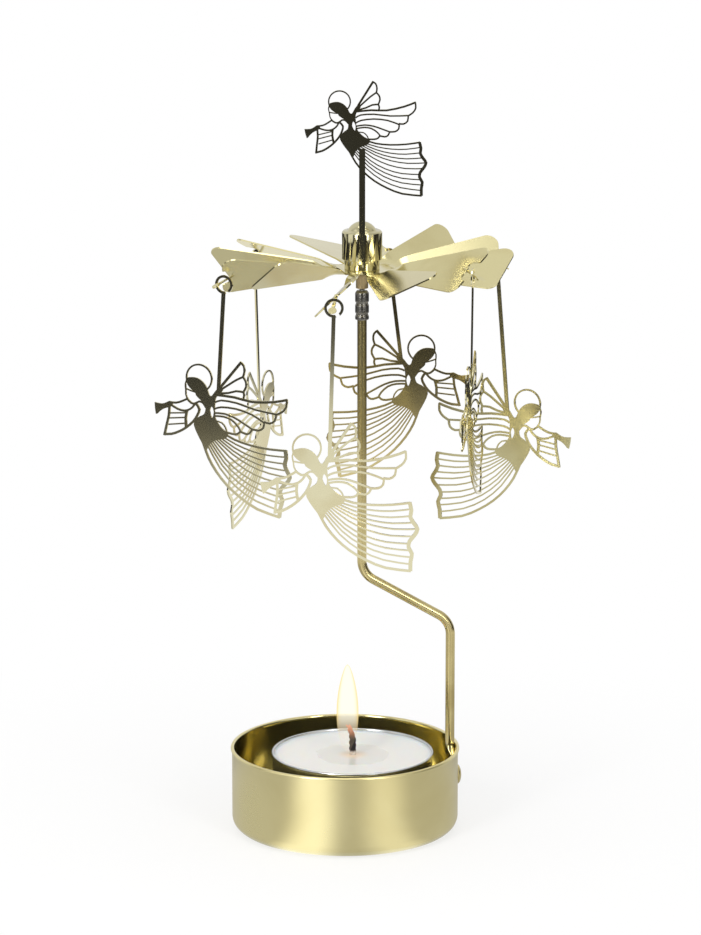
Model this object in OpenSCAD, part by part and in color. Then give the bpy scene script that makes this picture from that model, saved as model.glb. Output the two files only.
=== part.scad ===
// Angel chime carousel for one tealight.
// The cup stands on the XY plane, its bottom centre is the origin, and the foot of the pole is on +X.

/* [Cup] */
// Outer diameter of the cup
cup_d = 53.6; // [50:0.2:60]
// Height of the cup
cup_h = 19.7; // [18:0.1:24]
// Sheet thickness of the cup
cup_wall = 0.5; // [0.4:0.05:0.8]
// Outer radius of the cup's bottom corner
cup_corner_r = 3; // [1.5:0.1:5]
// Diameter of the bead rolled round the cup's rim
rim_bead_d = 0.9; // [0.7:0.05:1.3]

/* [Tealight] */
// Outer diameter of the tealight
tealight_d = 37.8; // [36:0.1:39]
// Height of the tealight's aluminium cup
tealight_h = 17.8; // [14:0.1:19]
// Foil thickness of the tealight's cup
tealight_wall = 0.3; // [0.2:0.05:0.5]
// How far the tealight sits from the cup's centre
tealight_offset = 1.8; // [0:0.1:3]
// Depth of the wax below the tealight's rim
wax_recess = 0.8; // [0.4:0.1:3]
// Diameter of the wick
wick_d = 1.4; // [1:0.1:2]
// Height of the wick above the wax
wick_h = 7; // [3:0.5:10]
// Lean of the wick's burnt end, in degrees
wick_lean = 16; // [0:1:30]
// Diameter of the tin disc that holds the wick
wick_clip_d = 12; // [8:0.5:16]

/* [Pole] */
// Diameter of the pole's wire
wire_d = 2.2; // [1.8:0.1:2.6]
// Distance of the rotor's axis from the cup's centre
axis_x = 4; // [2:0.1:8]
// Height of the arm's lower corner
arm_low_z = 49.5; // [46:0.5:54]
// Height of the arm's upper corner
arm_high_z = 61.7; // [58:0.1:66]
// Centre-line radius of both bends
bend_r = 5.5; // [4:0.1:8]
// Width of the pole's pressed foot
foot_w = 4.6; // [4:0.1:6]
// Thickness of the pole's pressed foot
foot_t = 1.1; // [0.9:0.05:1.6]
// Shank diameter of the rivet
rivet_d = 2; // [1.5:0.1:2.4]
// Head diameter of the rivet
rivet_head_d = 4.8; // [4:0.1:6]
// Height of the rivet's head
rivet_head_h = 1; // [0.6:0.1:1.6]
// Height of the rivet above the table
rivet_z = 11.8; // [10:0.1:13]

/* [Pivot] */
// Outer diameter of the crimped ferrule
ferrule_d = 3.2; // [3:0.1:4]
// Length of the ferrule
ferrule_l = 6.9; // [5:0.1:9]
// Diameter of the pivot pin
pin_d = 1.2; // [1:0.05:1.6]
// Length of the pin's pointed end
pin_point_l = 1.8; // [1:0.1:3]
// Radial running clearance of the sleeve on the pin
sleeve_clear = 0.08; // [0.04:0.01:0.1]
// Wall of the sleeve under the rotor
sleeve_wall = 0.75; // [0.5:0.05:1]
// Gap between the sleeve and the ferrule
sleeve_gap = 0.5; // [0.3:0.1:1.5]
// Play between the pin's point and its seat
seat_play = 0.05; // [0.03:0.01:0.1]

/* [Rotor] */
// Height of the rotor's flat hub
hub_z = 134.3; // [130:0.1:140]
// Thickness of the rotor's sheet
sheet_t = 0.4; // [0.3:0.05:0.6]
// Radius of the rotor's flat hub
hub_r = 6.6; // [6:0.1:8]
// Radius at the raised corner of a blade
blade_r_high = 35; // [34:0.1:37]
// Radius at the lowered corner of a blade
blade_r_low = 32.6; // [32:0.1:35]
// Half width of a blade where it leaves the hub
blade_root_w = 1.45; // [1:0.05:1.5]
// Half width of a blade where its twist ends
blade_neck_w = 3.1; // [2.5:0.1:3.5]
// Half width of a blade at its outer edge
blade_tip_w = 7; // [6:0.1:8]
// Corner radius of a blade
blade_corner_r = 2.4; // [1:0.1:3]
// Length over which a blade turns to its full pitch
twist_l = 6; // [4:0.1:8]
// Pitch of each blade in degrees, as twisted by hand
blade_pitch = [42, 42, 38, 12, 30, 42, 42, 33, 44, 24, 37, 30]; // [5:1:55]
// Lift of each blade in degrees, as bent by hand
blade_lift = [1, 2, -2.5, 2.5, 1, 0.5, 1, 7, -1.5, 4, 8.5, 3]; // [-8:0.5:10]
// Bearing of the first blade, in degrees from the pole's foot
first_blade = 13; // [0:1:29]
// Radius of the circle on which the pendants hang
hook_r = 33.5; // [32:0.1:35]
// Half width of the tongue that carries a pendant
tongue_w = 0.36; // [0.3:0.01:0.45]
// How far the tongue is bent down from its blade, in degrees
tongue_drop = 29; // [20:1:35]
// Radius of the lobe at the end of the tongue
lobe_r = 0.95; // [0.8:0.05:1.1]

/* [Hub cap] */
// Outer diameter of the hub cap
cap_d = 9.3; // [9:0.1:10]
// Height of the cap's cylinder
cap_h = 6.7; // [6:0.1:9]
// Outer diameter of the collar under the cap
collar_d = 8.2; // [7.6:0.1:8.8]
// Height of the collar
collar_h = 2.3; // [1.5:0.1:3]
// Diameter of the cap's dome
dome_d = 6.7; // [6:0.1:8]
// Height of the cap's dome
dome_h = 2.1; // [1.5:0.1:3]
// Wall of the cap
cap_wall = 0.5; // [0.4:0.05:0.8]
// Diameter of the bearing cup inside the dome
bearing_d = 3; // [2.6:0.1:3.6]

/* [Figures] */
// Thickness of a figure's sheet
figure_t = 0.35; // [0.25:0.05:0.5]
// Width of the fine ribs of a figure
rib_w = 0.34; // [0.3:0.01:0.4]
// Width of the outlines of a figure
edge_w = 0.5; // [0.4:0.01:0.6]
// Number of skirt ribs of a figure
skirt_ribs = 9; // [6:1:11]
// Size of the top figure as a share of a pendant
top_share = 0.775; // [0.7:0.005:0.85]
// Height of the top figure's halo centre
top_halo_z = 174.2; // [170:0.1:178]
// Width of the post under the top figure
post_w = 1.4; // [1:0.1:1.8]
// Bearing that the top figure faces, in degrees
top_bearing = 264; // [255:1:273]
// Outer radius of a pendant's hanging ring
ring_r = 2.2; // [2.1:0.05:2.3]
// Band of the hanging ring
ring_band = 0.6; // [0.5:0.05:0.65]
// Width of a pendant's stem
stem_w = 0.9; // [0.7:0.05:1.2]
// Depth of the short pendants' halo centre below the ring
short_drop = 22.5; // [18:0.5:24]
// Depth of the long pendants' halo centre below the ring
long_drop = 31.7; // [28:0.1:34]
// Bearing of each pendant's trumpet, in degrees
trumpet_bearing = [-29, -6, 61, 151, 174, 254]; // [-180:1:360]
// Turn of each hanging figure in its own plane, in degrees
pendant_lean = [5, 7.5, 4, 4, 2, 4]; // [0:0.5:10]
// Turn of each figure on its stem, in degrees
figure_turn = [8.5, 6.5, 5, 4, 8.5, 5]; // [0:0.5:12]
// Turn of the top figure, in degrees
top_turn = 8; // [0:0.5:12]

/* [Hidden] */
$fn = 48;
FULL = 360;
BLADES = 12;
PENDANTS = 6;
EPS = 0.01;
SEAM = 0.02;
JOIN = 0.3;

BRASS = "#cfc58c";
BRIGHT_BRASS = "#d9cd90";
NICKEL = "#8c8a86";

// Cup
cup_r = cup_d / 2;
cup_inner_r = cup_r - cup_wall;
corner_inner_r = cup_corner_r - cup_wall;

// Pole: the flat foot meets the curved wall with its two edges, and the wire stands just inside its face
foot_face_x = sqrt(pow(cup_inner_r, 2) - pow(foot_w / 2, 2)) - 0.02;
foot_x = foot_face_x - wire_d / 2 - 0.05;
foot_low_z = cup_wall + corner_inner_r + 0.8;
foot_high_z = cup_h - 1.2;
foot_neck_l = 2.4;
pole_top_z = hub_z - sheet_t / 2 - 8.2;
arm_slope = atan2(arm_high_z - arm_low_z, foot_x - axis_x);
bend_angle = 90 - arm_slope;
bend_cut = bend_r * tan(bend_angle / 2);
arm_l = norm([foot_x - axis_x, arm_high_z - arm_low_z]);

// Pivot
cap_base_z = hub_z + sheet_t / 2;
cap_low_z = cap_base_z + collar_h;
cap_top_z = cap_low_z + cap_h;
dome_r = (pow(dome_d / 2, 2) + dome_h * dome_h) / (2 * dome_h);
dome_centre_z = cap_top_z + dome_h - dome_r;
dome_inner_r = dome_r - cap_wall;
bearing_low_z = cap_top_z - 2.4;
seat_l = 1.5;
seat_top_z = bearing_low_z + seat_l;
pin_top_z = seat_top_z - seat_play;
ferrule_low_z = pole_top_z - 3.4;
ferrule_high_z = ferrule_low_z + ferrule_l;
sleeve_bore_r = pin_d / 2 + sleeve_clear;
sleeve_r = sleeve_bore_r + sleeve_wall;
sleeve_low_z = ferrule_high_z + sleeve_gap;
sleeve_lip_w = 0.7;
sleeve_lip_t = 0.4;

// Tealight: it stands on the cup's bottom
tealight_r = tealight_d / 2;
tealight_base_z = cup_wall;
wax_r = tealight_r - tealight_wall;
wax_low_z = tealight_base_z + tealight_wall;
wax_top_z = tealight_base_z + tealight_h - wax_recess;
clip_t = 0.3;
clip_barrel_h = 2.2;
clip_barrel_wall = 0.25;
wick_foot_z = wax_low_z + clip_t;

// Blades: each has its own frame, with x outwards, y to the raised side and z up
hub_overlap = 0.6;
plate_start = twist_l - 0.6;
root_t = sheet_t - 0.04;
tongue_slot_l = 2;
tongue_root_l = 0.9;
tongue_l = tongue_slot_l / cos(tongue_drop) + 2.2;
slot_high_w = 1.9;
slot_low_w = 3.2;
ring_sink = 0.85;

// Figures: plane coordinates in millimetres at the pendants' size, with the halo's centre as origin
halo_r = 3.2;
halo_band = 0.42;
stem_x = 4.9;
stem_y = -2.6;
halo_side = 4.7;
spline_steps = 2;
fillet_r = 0.1;
post_r = cap_d / 2 + 0.25;
post_place = 6.7;
tab_t = figure_t;
tab_l = post_r + figure_t - collar_d / 2 - 0.05;

function turn(i) = first_blade + i * FULL / BLADES;

function smooth(x) = let (t = min(max(x, 0), 1)) t * t * (3 - 2 * t);

// Points of a smooth curve through the given points
function bend_at(p, i, t) =
    let (
        a = p[max(i - 1, 0)],
        b = p[i],
        c = p[i + 1],
        d = p[min(i + 2, len(p) - 1)]
    )
    b + t * (c - a) / 2
    + t * t * (a - 2.5 * b + 2 * c - d / 2)
    + t * t * t * (1.5 * b - a / 2 - 1.5 * c + d / 2);

function curve(p, n = spline_steps) = concat(
    [for (i = [0 : len(p) - 2], k = [0 : n - 1]) bend_at(p, i, k / n)],
    [p[len(p) - 1]]
);

function closed_curve(p, n = spline_steps) =
    let (m = len(p), q = [for (i = [-1 : m + 1]) p[(i + m) % m]])
    [for (i = [1 : m], k = [0 : n - 1]) bend_at(q, i, k / n)];

function side_at(q, i) =
    let (d = q[min(i + 1, len(q) - 1)] - q[max(i - 1, 0)])
    [-d[1], d[0]] / norm(d);

// A band of width w along a curve
module band(p, w, n = spline_steps) {
    q = curve(p, n);
    m = len(q) - 1;
    polygon(concat(
        [for (i = [0 : m]) q[i] + side_at(q, i) * w / 2],
        [for (i = [m : -1 : 0]) q[i] - side_at(q, i) * w / 2]
    ));
}

module cup() {
    color(BRASS) rotate([0, 0, FULL / 4]) difference() {
        union() {
            difference() {
                rotate_extrude() union() {
                    square([cup_r - cup_corner_r, cup_h]);
                    translate([0, cup_corner_r]) square([cup_r, cup_h - cup_corner_r]);
                    intersection() {
                        translate([cup_r - cup_corner_r, cup_corner_r]) circle(cup_corner_r);
                        square([cup_r, cup_corner_r]);
                    }
                }
                rotate_extrude() translate([0, cup_wall]) union() {
                    square([cup_inner_r - corner_inner_r, cup_h]);
                    translate([0, corner_inner_r]) square([cup_inner_r, cup_h]);
                    intersection() {
                        translate([cup_inner_r - corner_inner_r, corner_inner_r]) circle(corner_inner_r);
                        square([cup_inner_r, corner_inner_r]);
                    }
                }
            }
            rotate_extrude() translate([cup_r - cup_wall / 2 + 0.1, cup_h - rim_bead_d / 2])
                circle(rim_bead_d / 2);
        }
        rotate([0, 0, -FULL / 4]) translate([cup_r - 2, 0, rivet_z]) rotate([0, 90, 0])
            cylinder(d = rivet_d, h = 4);
    }
}

// The pole's pressed foot
module pressed_foot() {
    foot_ends = [foot_low_z + foot_w / 2, foot_high_z - foot_w / 2];
    translate([foot_face_x - foot_t, 0, 0]) {
        for (z = foot_ends) translate([0, 0, z]) rotate([0, 90, 0]) cylinder(d = foot_w, h = foot_t);
        translate([0, SEAM - foot_w / 2, foot_ends[0]])
            cube([foot_t, foot_w - 2 * SEAM, foot_ends[1] - foot_ends[0]]);
    }
}

module pole_wire() {
    color(BRASS) difference() {
        union() {
            pressed_foot();
            translate([foot_x, 0, foot_high_z - foot_neck_l])
                cylinder(d = wire_d, h = arm_low_z - bend_cut - foot_high_z + foot_neck_l + JOIN);
            translate([foot_x - bend_r, 0, arm_low_z - bend_cut]) rotate([90, 0, 0]) wire_bend();
            translate([foot_x, 0, arm_low_z]) rotate([0, -bend_angle, 0])
                translate([0, 0, bend_cut - JOIN]) cylinder(d = wire_d, h = arm_l - 2 * bend_cut + 2 * JOIN);
            translate([axis_x + bend_r, 0, arm_high_z + bend_cut]) rotate([90, FULL / 2, 0]) wire_bend();
            translate([axis_x, 0, arm_high_z + bend_cut - JOIN])
                cylinder(d = wire_d, h = pole_top_z - arm_high_z - bend_cut + JOIN);
        }
        translate([0, 0, rivet_z]) rotate([0, 90, 0]) cylinder(d = rivet_d, h = cup_r);
    }
}

// A bend from [bend_r, 0] in the XY plane, a hair thicker than the wire so that it swallows its ends
module wire_bend() {
    rotate_extrude(angle = bend_angle) translate([bend_r, 0]) circle(d = wire_d + 2 * SEAM);
}

// The rivet's domed head outside the wall, its shank and its peened end inside
module foot_rivet() {
    head_r = (pow(rivet_head_d / 2, 2) + rivet_head_h * rivet_head_h) / (2 * rivet_head_h);
    shank_x = foot_face_x - foot_t;
    color(BRASS) translate([0, 0, rivet_z]) rotate([0, 90, 0]) union() {
        intersection() {
            translate([0, 0, cup_r + rivet_head_h - head_r]) sphere(head_r);
            translate([0, 0, cup_r]) cylinder(d = rivet_head_d + 1, h = rivet_head_h - EPS);
        }
        translate([0, 0, shank_x]) cylinder(d = rivet_d, h = cup_r - shank_x + rivet_head_h / 2);
        translate([0, 0, shank_x - rivet_head_h / 2])
            cylinder(d1 = rivet_d + 0.4, d2 = rivet_d + 1.2, h = rivet_head_h / 2);
    }
}

module pivot_ferrule() {
    color(NICKEL) translate([axis_x, 0, 0]) difference() {
        union() {
            translate([0, 0, ferrule_low_z]) cylinder(d = ferrule_d, h = ferrule_l - 0.5);
            translate([0, 0, ferrule_high_z - 0.5]) cylinder(d1 = ferrule_d, d2 = ferrule_d - 0.8, h = 0.5);
        }
        translate([0, 0, ferrule_low_z - 1]) cylinder(d = wire_d, h = pole_top_z - ferrule_low_z + 1);
        translate([0, 0, ferrule_low_z]) cylinder(d = pin_d, h = ferrule_l + 1);
        for (i = [0, 1]) translate([0, 0, ferrule_low_z + 1.3 + i * 2.6]) crimp_groove();
    }
}

// The ring groove that a crimping tool leaves
module crimp_groove() {
    rotate_extrude() translate([ferrule_d / 2 + 0.25, 0]) circle(0.4);
}

module pivot_pin() {
    color(NICKEL) translate([axis_x, 0, 0]) union() {
        translate([0, 0, pole_top_z]) cylinder(d = pin_d, h = pin_top_z - pin_point_l - pole_top_z);
        translate([0, 0, pin_top_z - pin_point_l]) cylinder(d1 = pin_d, d2 = 0.2, h = pin_point_l);
    }
}

// Half width of a blade at distance x from the hub's edge
function blade_w(x) = lookup(x, [
    [0, blade_root_w], [twist_l, blade_neck_w], [blade_r_high - hub_r, blade_tip_w]
]);

// A point of the twisted root: x outwards, y across, z through the sheet
function root_point(x, y, z, pitch, lift) =
    let (
        a = pitch * smooth(x / (twist_l - 1)),
        b = lift * smooth(x / (twist_l / 2)),
        v = y * cos(a) - z * sin(a),
        w = y * sin(a) + z * cos(a)
    )
    [x * cos(b) - w * sin(b), v, x * sin(b) + w * cos(b)];

module blade_root(pitch, lift) {
    n = 12;
    points = [
        for (k = [0 : n], c = [[1, -1], [1, 1], [-1, 1], [-1, -1]])
            let (x = -hub_overlap + (twist_l + hub_overlap) * k / n)
            root_point(x, c[0] * (blade_w(x) - 0.02), c[1] * root_t / 2, pitch, lift)
    ];
    sides = [
        for (k = [0 : n - 1], j = [0 : 3])
            let (a = 4 * k + j, b = 4 * k + (j + 1) % 4)
            each [[a, b + 4, b], [a, a + 4, b + 4]]
    ];
    inner_end = [[0, 1, 2], [0, 2, 3]];
    outer_end = [[4 * n, 4 * n + 2, 4 * n + 1], [4 * n, 4 * n + 3, 4 * n + 2]];
    polyhedron(points, concat(inner_end, sides, outer_end));
}

function arc_points(centre, r, from, to) =
    [for (k = [0 : 6]) let (a = from + (to - from) * k / 6) centre + r * [cos(a), sin(a)]];

// Outline of a blade's flat part
module blade_outline() {
    high_x = blade_r_high - hub_r;
    low_x = blade_r_low - hub_r;
    side_slope = atan2(blade_tip_w - blade_neck_w, high_x - twist_l);
    edge_slope = atan2(high_x - low_x, 2 * blade_tip_w);
    low_centre = [low_x - blade_corner_r, blade_corner_r - blade_tip_w];
    high_centre = [high_x - blade_corner_r, blade_tip_w - blade_corner_r];
    polygon(concat(
        [[plate_start, -blade_w(plate_start)]],
        arc_points(low_centre, blade_corner_r, -90 - side_slope, -edge_slope),
        arc_points(high_centre, blade_corner_r, -edge_slope, 90 + side_slope),
        [[plate_start, blade_w(plate_start)]]
    ));
}

// The two slots that free the tongue of a blade that carries a pendant
module blade_slots() {
    slot_x = hook_r - hub_r - tongue_slot_l;
    translate([slot_x, tongue_w + slot_high_w / 2]) tongue_slot(slot_high_w);
    translate([slot_x, -tongue_w - slot_low_w / 2]) tongue_slot(slot_low_w);
    translate([slot_x + tongue_w, -tongue_w - 0.1]) square([20, 2 * tongue_w + 0.2]);
}

// A slot of width w with a round inner end, open to the blade's edge
module tongue_slot(w) {
    translate([w / 2, 0]) circle(w / 2);
    translate([w / 2, -w / 2]) square([20, w]);
}

// The tongue is bent down out of the blade, and its lobe keeps the pendant's ring on it
module tongue() {
    translate([-tongue_root_l, -tongue_w]) square([tongue_root_l + tongue_l, 2 * tongue_w]);
    translate([tongue_l, 0]) circle(lobe_r);
}

module blade(i) {
    carries = i % 2 == 0;
    rotate([0, 0, turn(i)]) translate([hub_r, 0, 0]) {
        blade_root(blade_pitch[i], blade_lift[i]);
        rotate([0, -blade_lift[i], 0]) rotate([blade_pitch[i], 0, 0])
            translate([0, 0, -sheet_t / 2]) linear_extrude(sheet_t) difference() {
                blade_outline();
                if (carries) blade_slots();
            }
        if (carries) rotate([0, -blade_lift[i], 0]) translate([hook_r - hub_r - tongue_slot_l, 0, 0])
            rotate([0, tongue_drop, 0]) translate([0, 0, -root_t / 2]) linear_extrude(root_t) tongue();
    }
}

module rotor() {
    color(BRIGHT_BRASS) translate([axis_x, 0, hub_z]) difference() {
        union() {
            translate([0, 0, -sheet_t / 2]) cylinder(r = hub_r, h = sheet_t);
            for (i = [0 : BLADES - 1]) blade(i);
        }
        translate([0, 0, -2]) cylinder(r = sleeve_r, h = 4);
    }
}

// Half section of the cap, with its outline moved in by the given wall
module cap_section(wall) {
    chamfer = 0.4;
    translate([0, cap_base_z - wall]) square([collar_d / 2 - wall, collar_h + 2 * wall]);
    translate([0, cap_low_z + wall]) square([cap_d / 2 - wall, cap_h - 2 * wall - chamfer]);
    translate([0, cap_low_z + wall]) square([cap_d / 2 - wall - chamfer, cap_h - 2 * wall]);
    intersection() {
        translate([0, dome_centre_z]) circle(dome_r - wall);
        translate([0, cap_top_z - 2 * wall - 0.1])
            square([cap_d / 2 - wall - chamfer, dome_h + wall + 0.1 - EPS]);
    }
}

module hub_cap() {
    color(BRIGHT_BRASS) translate([axis_x, 0, 0]) difference() {
        rotate_extrude() cap_section(0);
        rotate_extrude() cap_section(cap_wall);
    }
}

// The bent foot of the top figure's post, soldered under the cap's rim
module post_tab() {
    rotate([0, 0, top_bearing]) translate([post_r + figure_t - tab_l, -post_w / 2, cap_low_z - tab_t])
        cube([tab_l, post_w, tab_t]);
}

module bearing_cup() {
    color(NICKEL) translate([axis_x, 0, 0]) difference() {
        rotate_extrude() {
            translate([0, bearing_low_z]) square([bearing_d / 2, dome_centre_z + 1 - bearing_low_z]);
            intersection() {
                translate([0, dome_centre_z]) circle(dome_inner_r);
                translate([0, bearing_low_z])
                    square([bearing_d / 2, dome_centre_z + dome_inner_r - EPS - bearing_low_z]);
            }
        }
        translate([0, 0, bearing_low_z - EPS]) cylinder(d1 = bearing_d - 0.8, d2 = 0.3, h = seat_l + EPS);
    }
}

module hub_sleeve() {
    color("#a08a5c") translate([axis_x, 0, 0]) difference() {
        union() {
            translate([0, 0, sleeve_low_z])
                cylinder(r = sleeve_r, h = cap_base_z + sleeve_lip_t - sleeve_low_z);
            translate([0, 0, cap_base_z]) cylinder(r = sleeve_r + sleeve_lip_w, h = sleeve_lip_t);
        }
        translate([0, 0, sleeve_low_z - 1]) cylinder(r = sleeve_bore_r, h = hub_z);
    }
}

// Feathers of the front wing: start on the back, mid point and end of each upper line
wing_lines = [
    [[4.3, -3.6], [8.9, -3.8], [13.4, -4.5], [18.7, -4.1], [22.2, -3.3]],
    [[4.1, -5.4], [5.6, -4.8], [9.5, -5.1], [14.3, -6.3], [19.4, -6.9]],
    [[4, -6.9], [5.6, -6.4], [9.3, -6.5], [13.3, -7.5], [16.5, -9.2]],
    [[4, -7.9], [6.4, -7.9], [8.9, -8.6], [11.3, -9.8], [13.5, -11]],
    [[4.2, -8.6], [6.2, -8.6], [8.2, -9.2], [9.8, -10.6], [10.5, -11.8]]
];
wing_scallops = [
    [[22.1, -3.2], [22, -5], [20.9, -6.3], [19.2, -7.1]],
    [[19.5, -6.9], [19.1, -8.5], [17.8, -9.2], [16.4, -8.9]],
    [[16.5, -9], [16.2, -10.4], [15, -11.1], [13.2, -10.9]],
    [[13.5, -10.8], [12.8, -11.9], [11.8, -12.2], [10.3, -11.7]],
    [[10.5, -11.5], [9.8, -12.3], [8.6, -12.5], [6.6, -12.2]]
];
back_wing_lines = [
    [[5.2, -2], [7.1, 0.3], [8.8, 2.3], [10.7, 4.6]],
    [[5.2, -2.5], [7.6, -0.9], [9.4, 0.3], [11.2, 1.2]],
    [[4.6, -3.2], [7.4, -2.9], [9.4, -2.3], [11.2, -2.4]]
];
back_wing_scallops = [
    [[10.5, 4.5], [11.3, 3.8], [11.5, 2.4], [11.1, 1.1]],
    [[11.1, 1.2], [11.8, 0.2], [11.9, -1.1], [11.2, -2.4]],
    [[11.2, -2.3], [11.4, -3.2], [11.1, -4.2]]
];
skirt_top = [[6.2, -12.5], [8.9, -13.8], [13, -14.8], [17.7, -15.3], [21.9, -15.3]];
skirt_back = [
    [0.9, -15.2], [2.2, -18.6], [4.2, -21.8], [6.9, -24.8],
    [10.4, -27.5], [14.6, -29.8], [20.2, -31.2]
];
hem = [
    [21.7, -15.2], [21.9, -17.1], [21.5, -18.6], [22.1, -20.1], [22.8, -21.6], [21.9, -23],
    [20.7, -24.2], [20.3, -25.6], [20.9, -27.2], [20.4, -28.9], [20.1, -31.2]
];
hem_w = 0.9;
bodice_top = [5.9, -12.8];
bodice_low = [1.5, -15.8];
rib_bow = 1;
rib_bow_gain = 2.3;

// How far out the hem lies at height y
function hem_x(y) = lookup(y, [for (i = [len(hem) - 1 : -1 : 0]) [hem[i][1], hem[i][0]]]);

// Rib number i of the skirt runs from the bodice to the hem and bows down between them
function rib(i) =
    let (
        t = (i + 1) / (skirt_ribs + 1),
        a = bodice_top + t * (bodice_low - bodice_top),
        y = hem[0][1] + t * (hem[len(hem) - 1][1] - hem[0][1]),
        b = [hem_x(y), y],
        n = [b[1] - a[1], a[0] - b[0]] / norm(b - a)
    )
    [for (s = [0 : 0.25 : 1]) a + s * (b - a) + n * (rib_bow + rib_bow_gain * t) * 4 * s * (1 - s)];

module halo() {
    $fn = 32;
    difference() {
        circle(halo_r + halo_band / 2);
        circle(halo_r - halo_band / 2);
    }
}

// Head, neck, back and bodice in one
module torso() {
    difference() {
        polygon(closed_curve([
            [-3.2, -0.2], [-1.9, 0.1], [-0.4, 0], [1, -0.8], [2, -2.1], [2.5, -3.6], [3.1, -4], [3.9, -3],
            [4.5, -2.3], [5.6, -1.6], [6, -2.5], [4.9, -3.5], [4.2, -4.6], [4, -6.2], [4, -8.6], [4.6, -10],
            [5.8, -11.4], [7.3, -12.6], [6.5, -13.8], [4.5, -14.2], [2.6, -15.4], [1.7, -17], [0.7, -15.4],
            [-0.5, -13.3], [-1.4, -11.2], [-1.1, -10], [0.1, -9], [1.2, -8.4], [1.6, -7.2], [1.4, -6],
            [0.3, -5.1], [-0.8, -4.1], [-1.1, -3.1], [-2.1, -2.3], [-3.1, -1]
        ], 2));
        polygon(closed_curve([[3.2, -6.4], [2.7, -7.6], [3.3, -9.2], [3.7, -7.6]], 2));
    }
}

module face_and_neck() {
    band([[-3, -0.4], [-3.5, -1.6], [-3.4, -3], [-3.4, -4.1], [-3, -5.2]], rib_w);
    band([[-3.1, -5.1], [-2.1, -6], [-1.1, -6.1], [0, -5.5], [1, -5.8], [1.7, -6.8]], edge_w);
    band([[-3.4, -2.7], [-2.2, -3.1], [-0.9, -3.4]], rib_w);
}

module trumpet() {
    polygon(curve([
        [-11.4, -6.6], [-11.1, -9.4], [-10.1, -8.7], [-9.1, -8], [-8, -7.6],
        [-7, -7.2], [-6.7, -6.3], [-7.6, -6], [-8.4, -6.4], [-9.6, -6.8], [-11.4, -6.6]
    ], 2));
}

module sleeve() {
    band([[-7.6, -6.3], [-5.9, -6.3], [-4.4, -5.8], [-2.8, -5]], edge_w);
    band([[-7.2, -6.9], [-5.6, -7.7], [-4.2, -8], [-2.9, -7.8], [-1.7, -7], [-0.9, -5.9]], edge_w);
    band([[-7.6, -6.8], [-7.8, -9.4], [-8.4, -11.8], [-9, -14.3]], edge_w * 1.2);
    band([
        [-9.2, -14], [-7.1, -13.8], [-5.1, -13], [-3.3, -11.9],
        [-1.5, -10.3], [-0.5, -8.8], [0, -7.4], [-0.7, -6.2]
    ], edge_w * 1.2);
    band([[-3.1, -7.8], [-3.5, -9.7], [-3.4, -11.9]], edge_w * 1.3);
    for (y = [-8.9, -10.1, -11.6]) band([[-7.9, y], [-3.5, y * 0.92 - 0.3]], rib_w);
}

module wings() {
    for (i = [0 : len(wing_lines) - 1]) {
        band(wing_lines[i], i == 0 ? edge_w * 1.15 : edge_w * 0.9);
        band(wing_scallops[i], edge_w);
    }
    for (i = [0 : len(back_wing_lines) - 1]) {
        band(back_wing_lines[i], i == 0 ? edge_w * 1.3 : edge_w);
        band(back_wing_scallops[i], edge_w);
    }
    band([[4.4, -9.8], [5.7, -10.1], [6.6, -11.1], [6.9, -12.1]], rib_w);
}

module skirt() {
    band(skirt_top, edge_w);
    band(skirt_back, edge_w * 1.1);
    band(hem, hem_w);
    for (i = [0 : skirt_ribs - 1]) band(rib(i), rib_w, 2);
}

// The pierced figure: rounding outwards and back leaves the small radii that etching leaves in the corners
module figure() {
    offset(delta = -fillet_r) offset(delta = fillet_r) {
        halo();
        torso();
        face_and_neck();
        trumpet();
        sleeve();
        wings();
        skirt();
    }
}

// Ring, stem and figure in one plane, with the ring's centre as origin
module pendant_outline(drop, lean, tilt) {
    offset(delta = -fillet_r) offset(delta = fillet_r) rotate([0, 0, -lean]) {
        difference() {
            circle(ring_r);
            circle(ring_r - ring_band);
            rotate([0, 0, -62]) translate([0, -0.45]) square([2 * ring_r, 0.9]);
        }
        band([[0, -ring_r + 0.15], [0, -drop / 2], [stem_x - halo_side, stem_y - drop]], stem_w);
        translate([stem_x - halo_side, stem_y - drop]) rotate(tilt) translate([-stem_x, -stem_y]) figure();
    }
}

// Centre of the ring of pendant i, which hangs on the tongue of every second blade
function hook_place(i) =
    let (
        lift = blade_lift[2 * i],
        x = hook_r - hub_r - tongue_slot_l,
        slope = lift - tongue_drop,
        r = hub_r + x * cos(lift) + tongue_slot_l,
        z = x * sin(lift) + tongue_slot_l * tan(slope)
    )
    [axis_x + r * cos(turn(2 * i)), r * sin(turn(2 * i)), hub_z + z - ring_sink];

module pendant(i) {
    color(BRIGHT_BRASS) translate(hook_place(i)) rotate([90, 0, trumpet_bearing[i] + FULL / 2])
        translate([0, 0, -figure_t / 2]) linear_extrude(figure_t)
        pendant_outline(i % 2 == 0 ? long_drop : short_drop, pendant_lean[i], figure_turn[i]);
}

module top_angel() {
    foot_y = (cap_low_z - tab_t - top_halo_z) / top_share;
    color(BRIGHT_BRASS) translate([axis_x, 0, 0]) union() {
        rotate([0, 0, top_bearing]) translate([post_r + figure_t, 0, top_halo_z]) rotate([90, 0, 90])
            translate([0, 0, -figure_t]) linear_extrude(figure_t) scale(top_share)
            translate([-post_place, 0]) offset(delta = -fillet_r) offset(delta = fillet_r) {
                rotate(top_turn) figure();
                translate([post_place - post_w / top_share / 2, foot_y])
                    square([post_w / top_share, -foot_y - 14]);
            }
        post_tab();
    }
}

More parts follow.
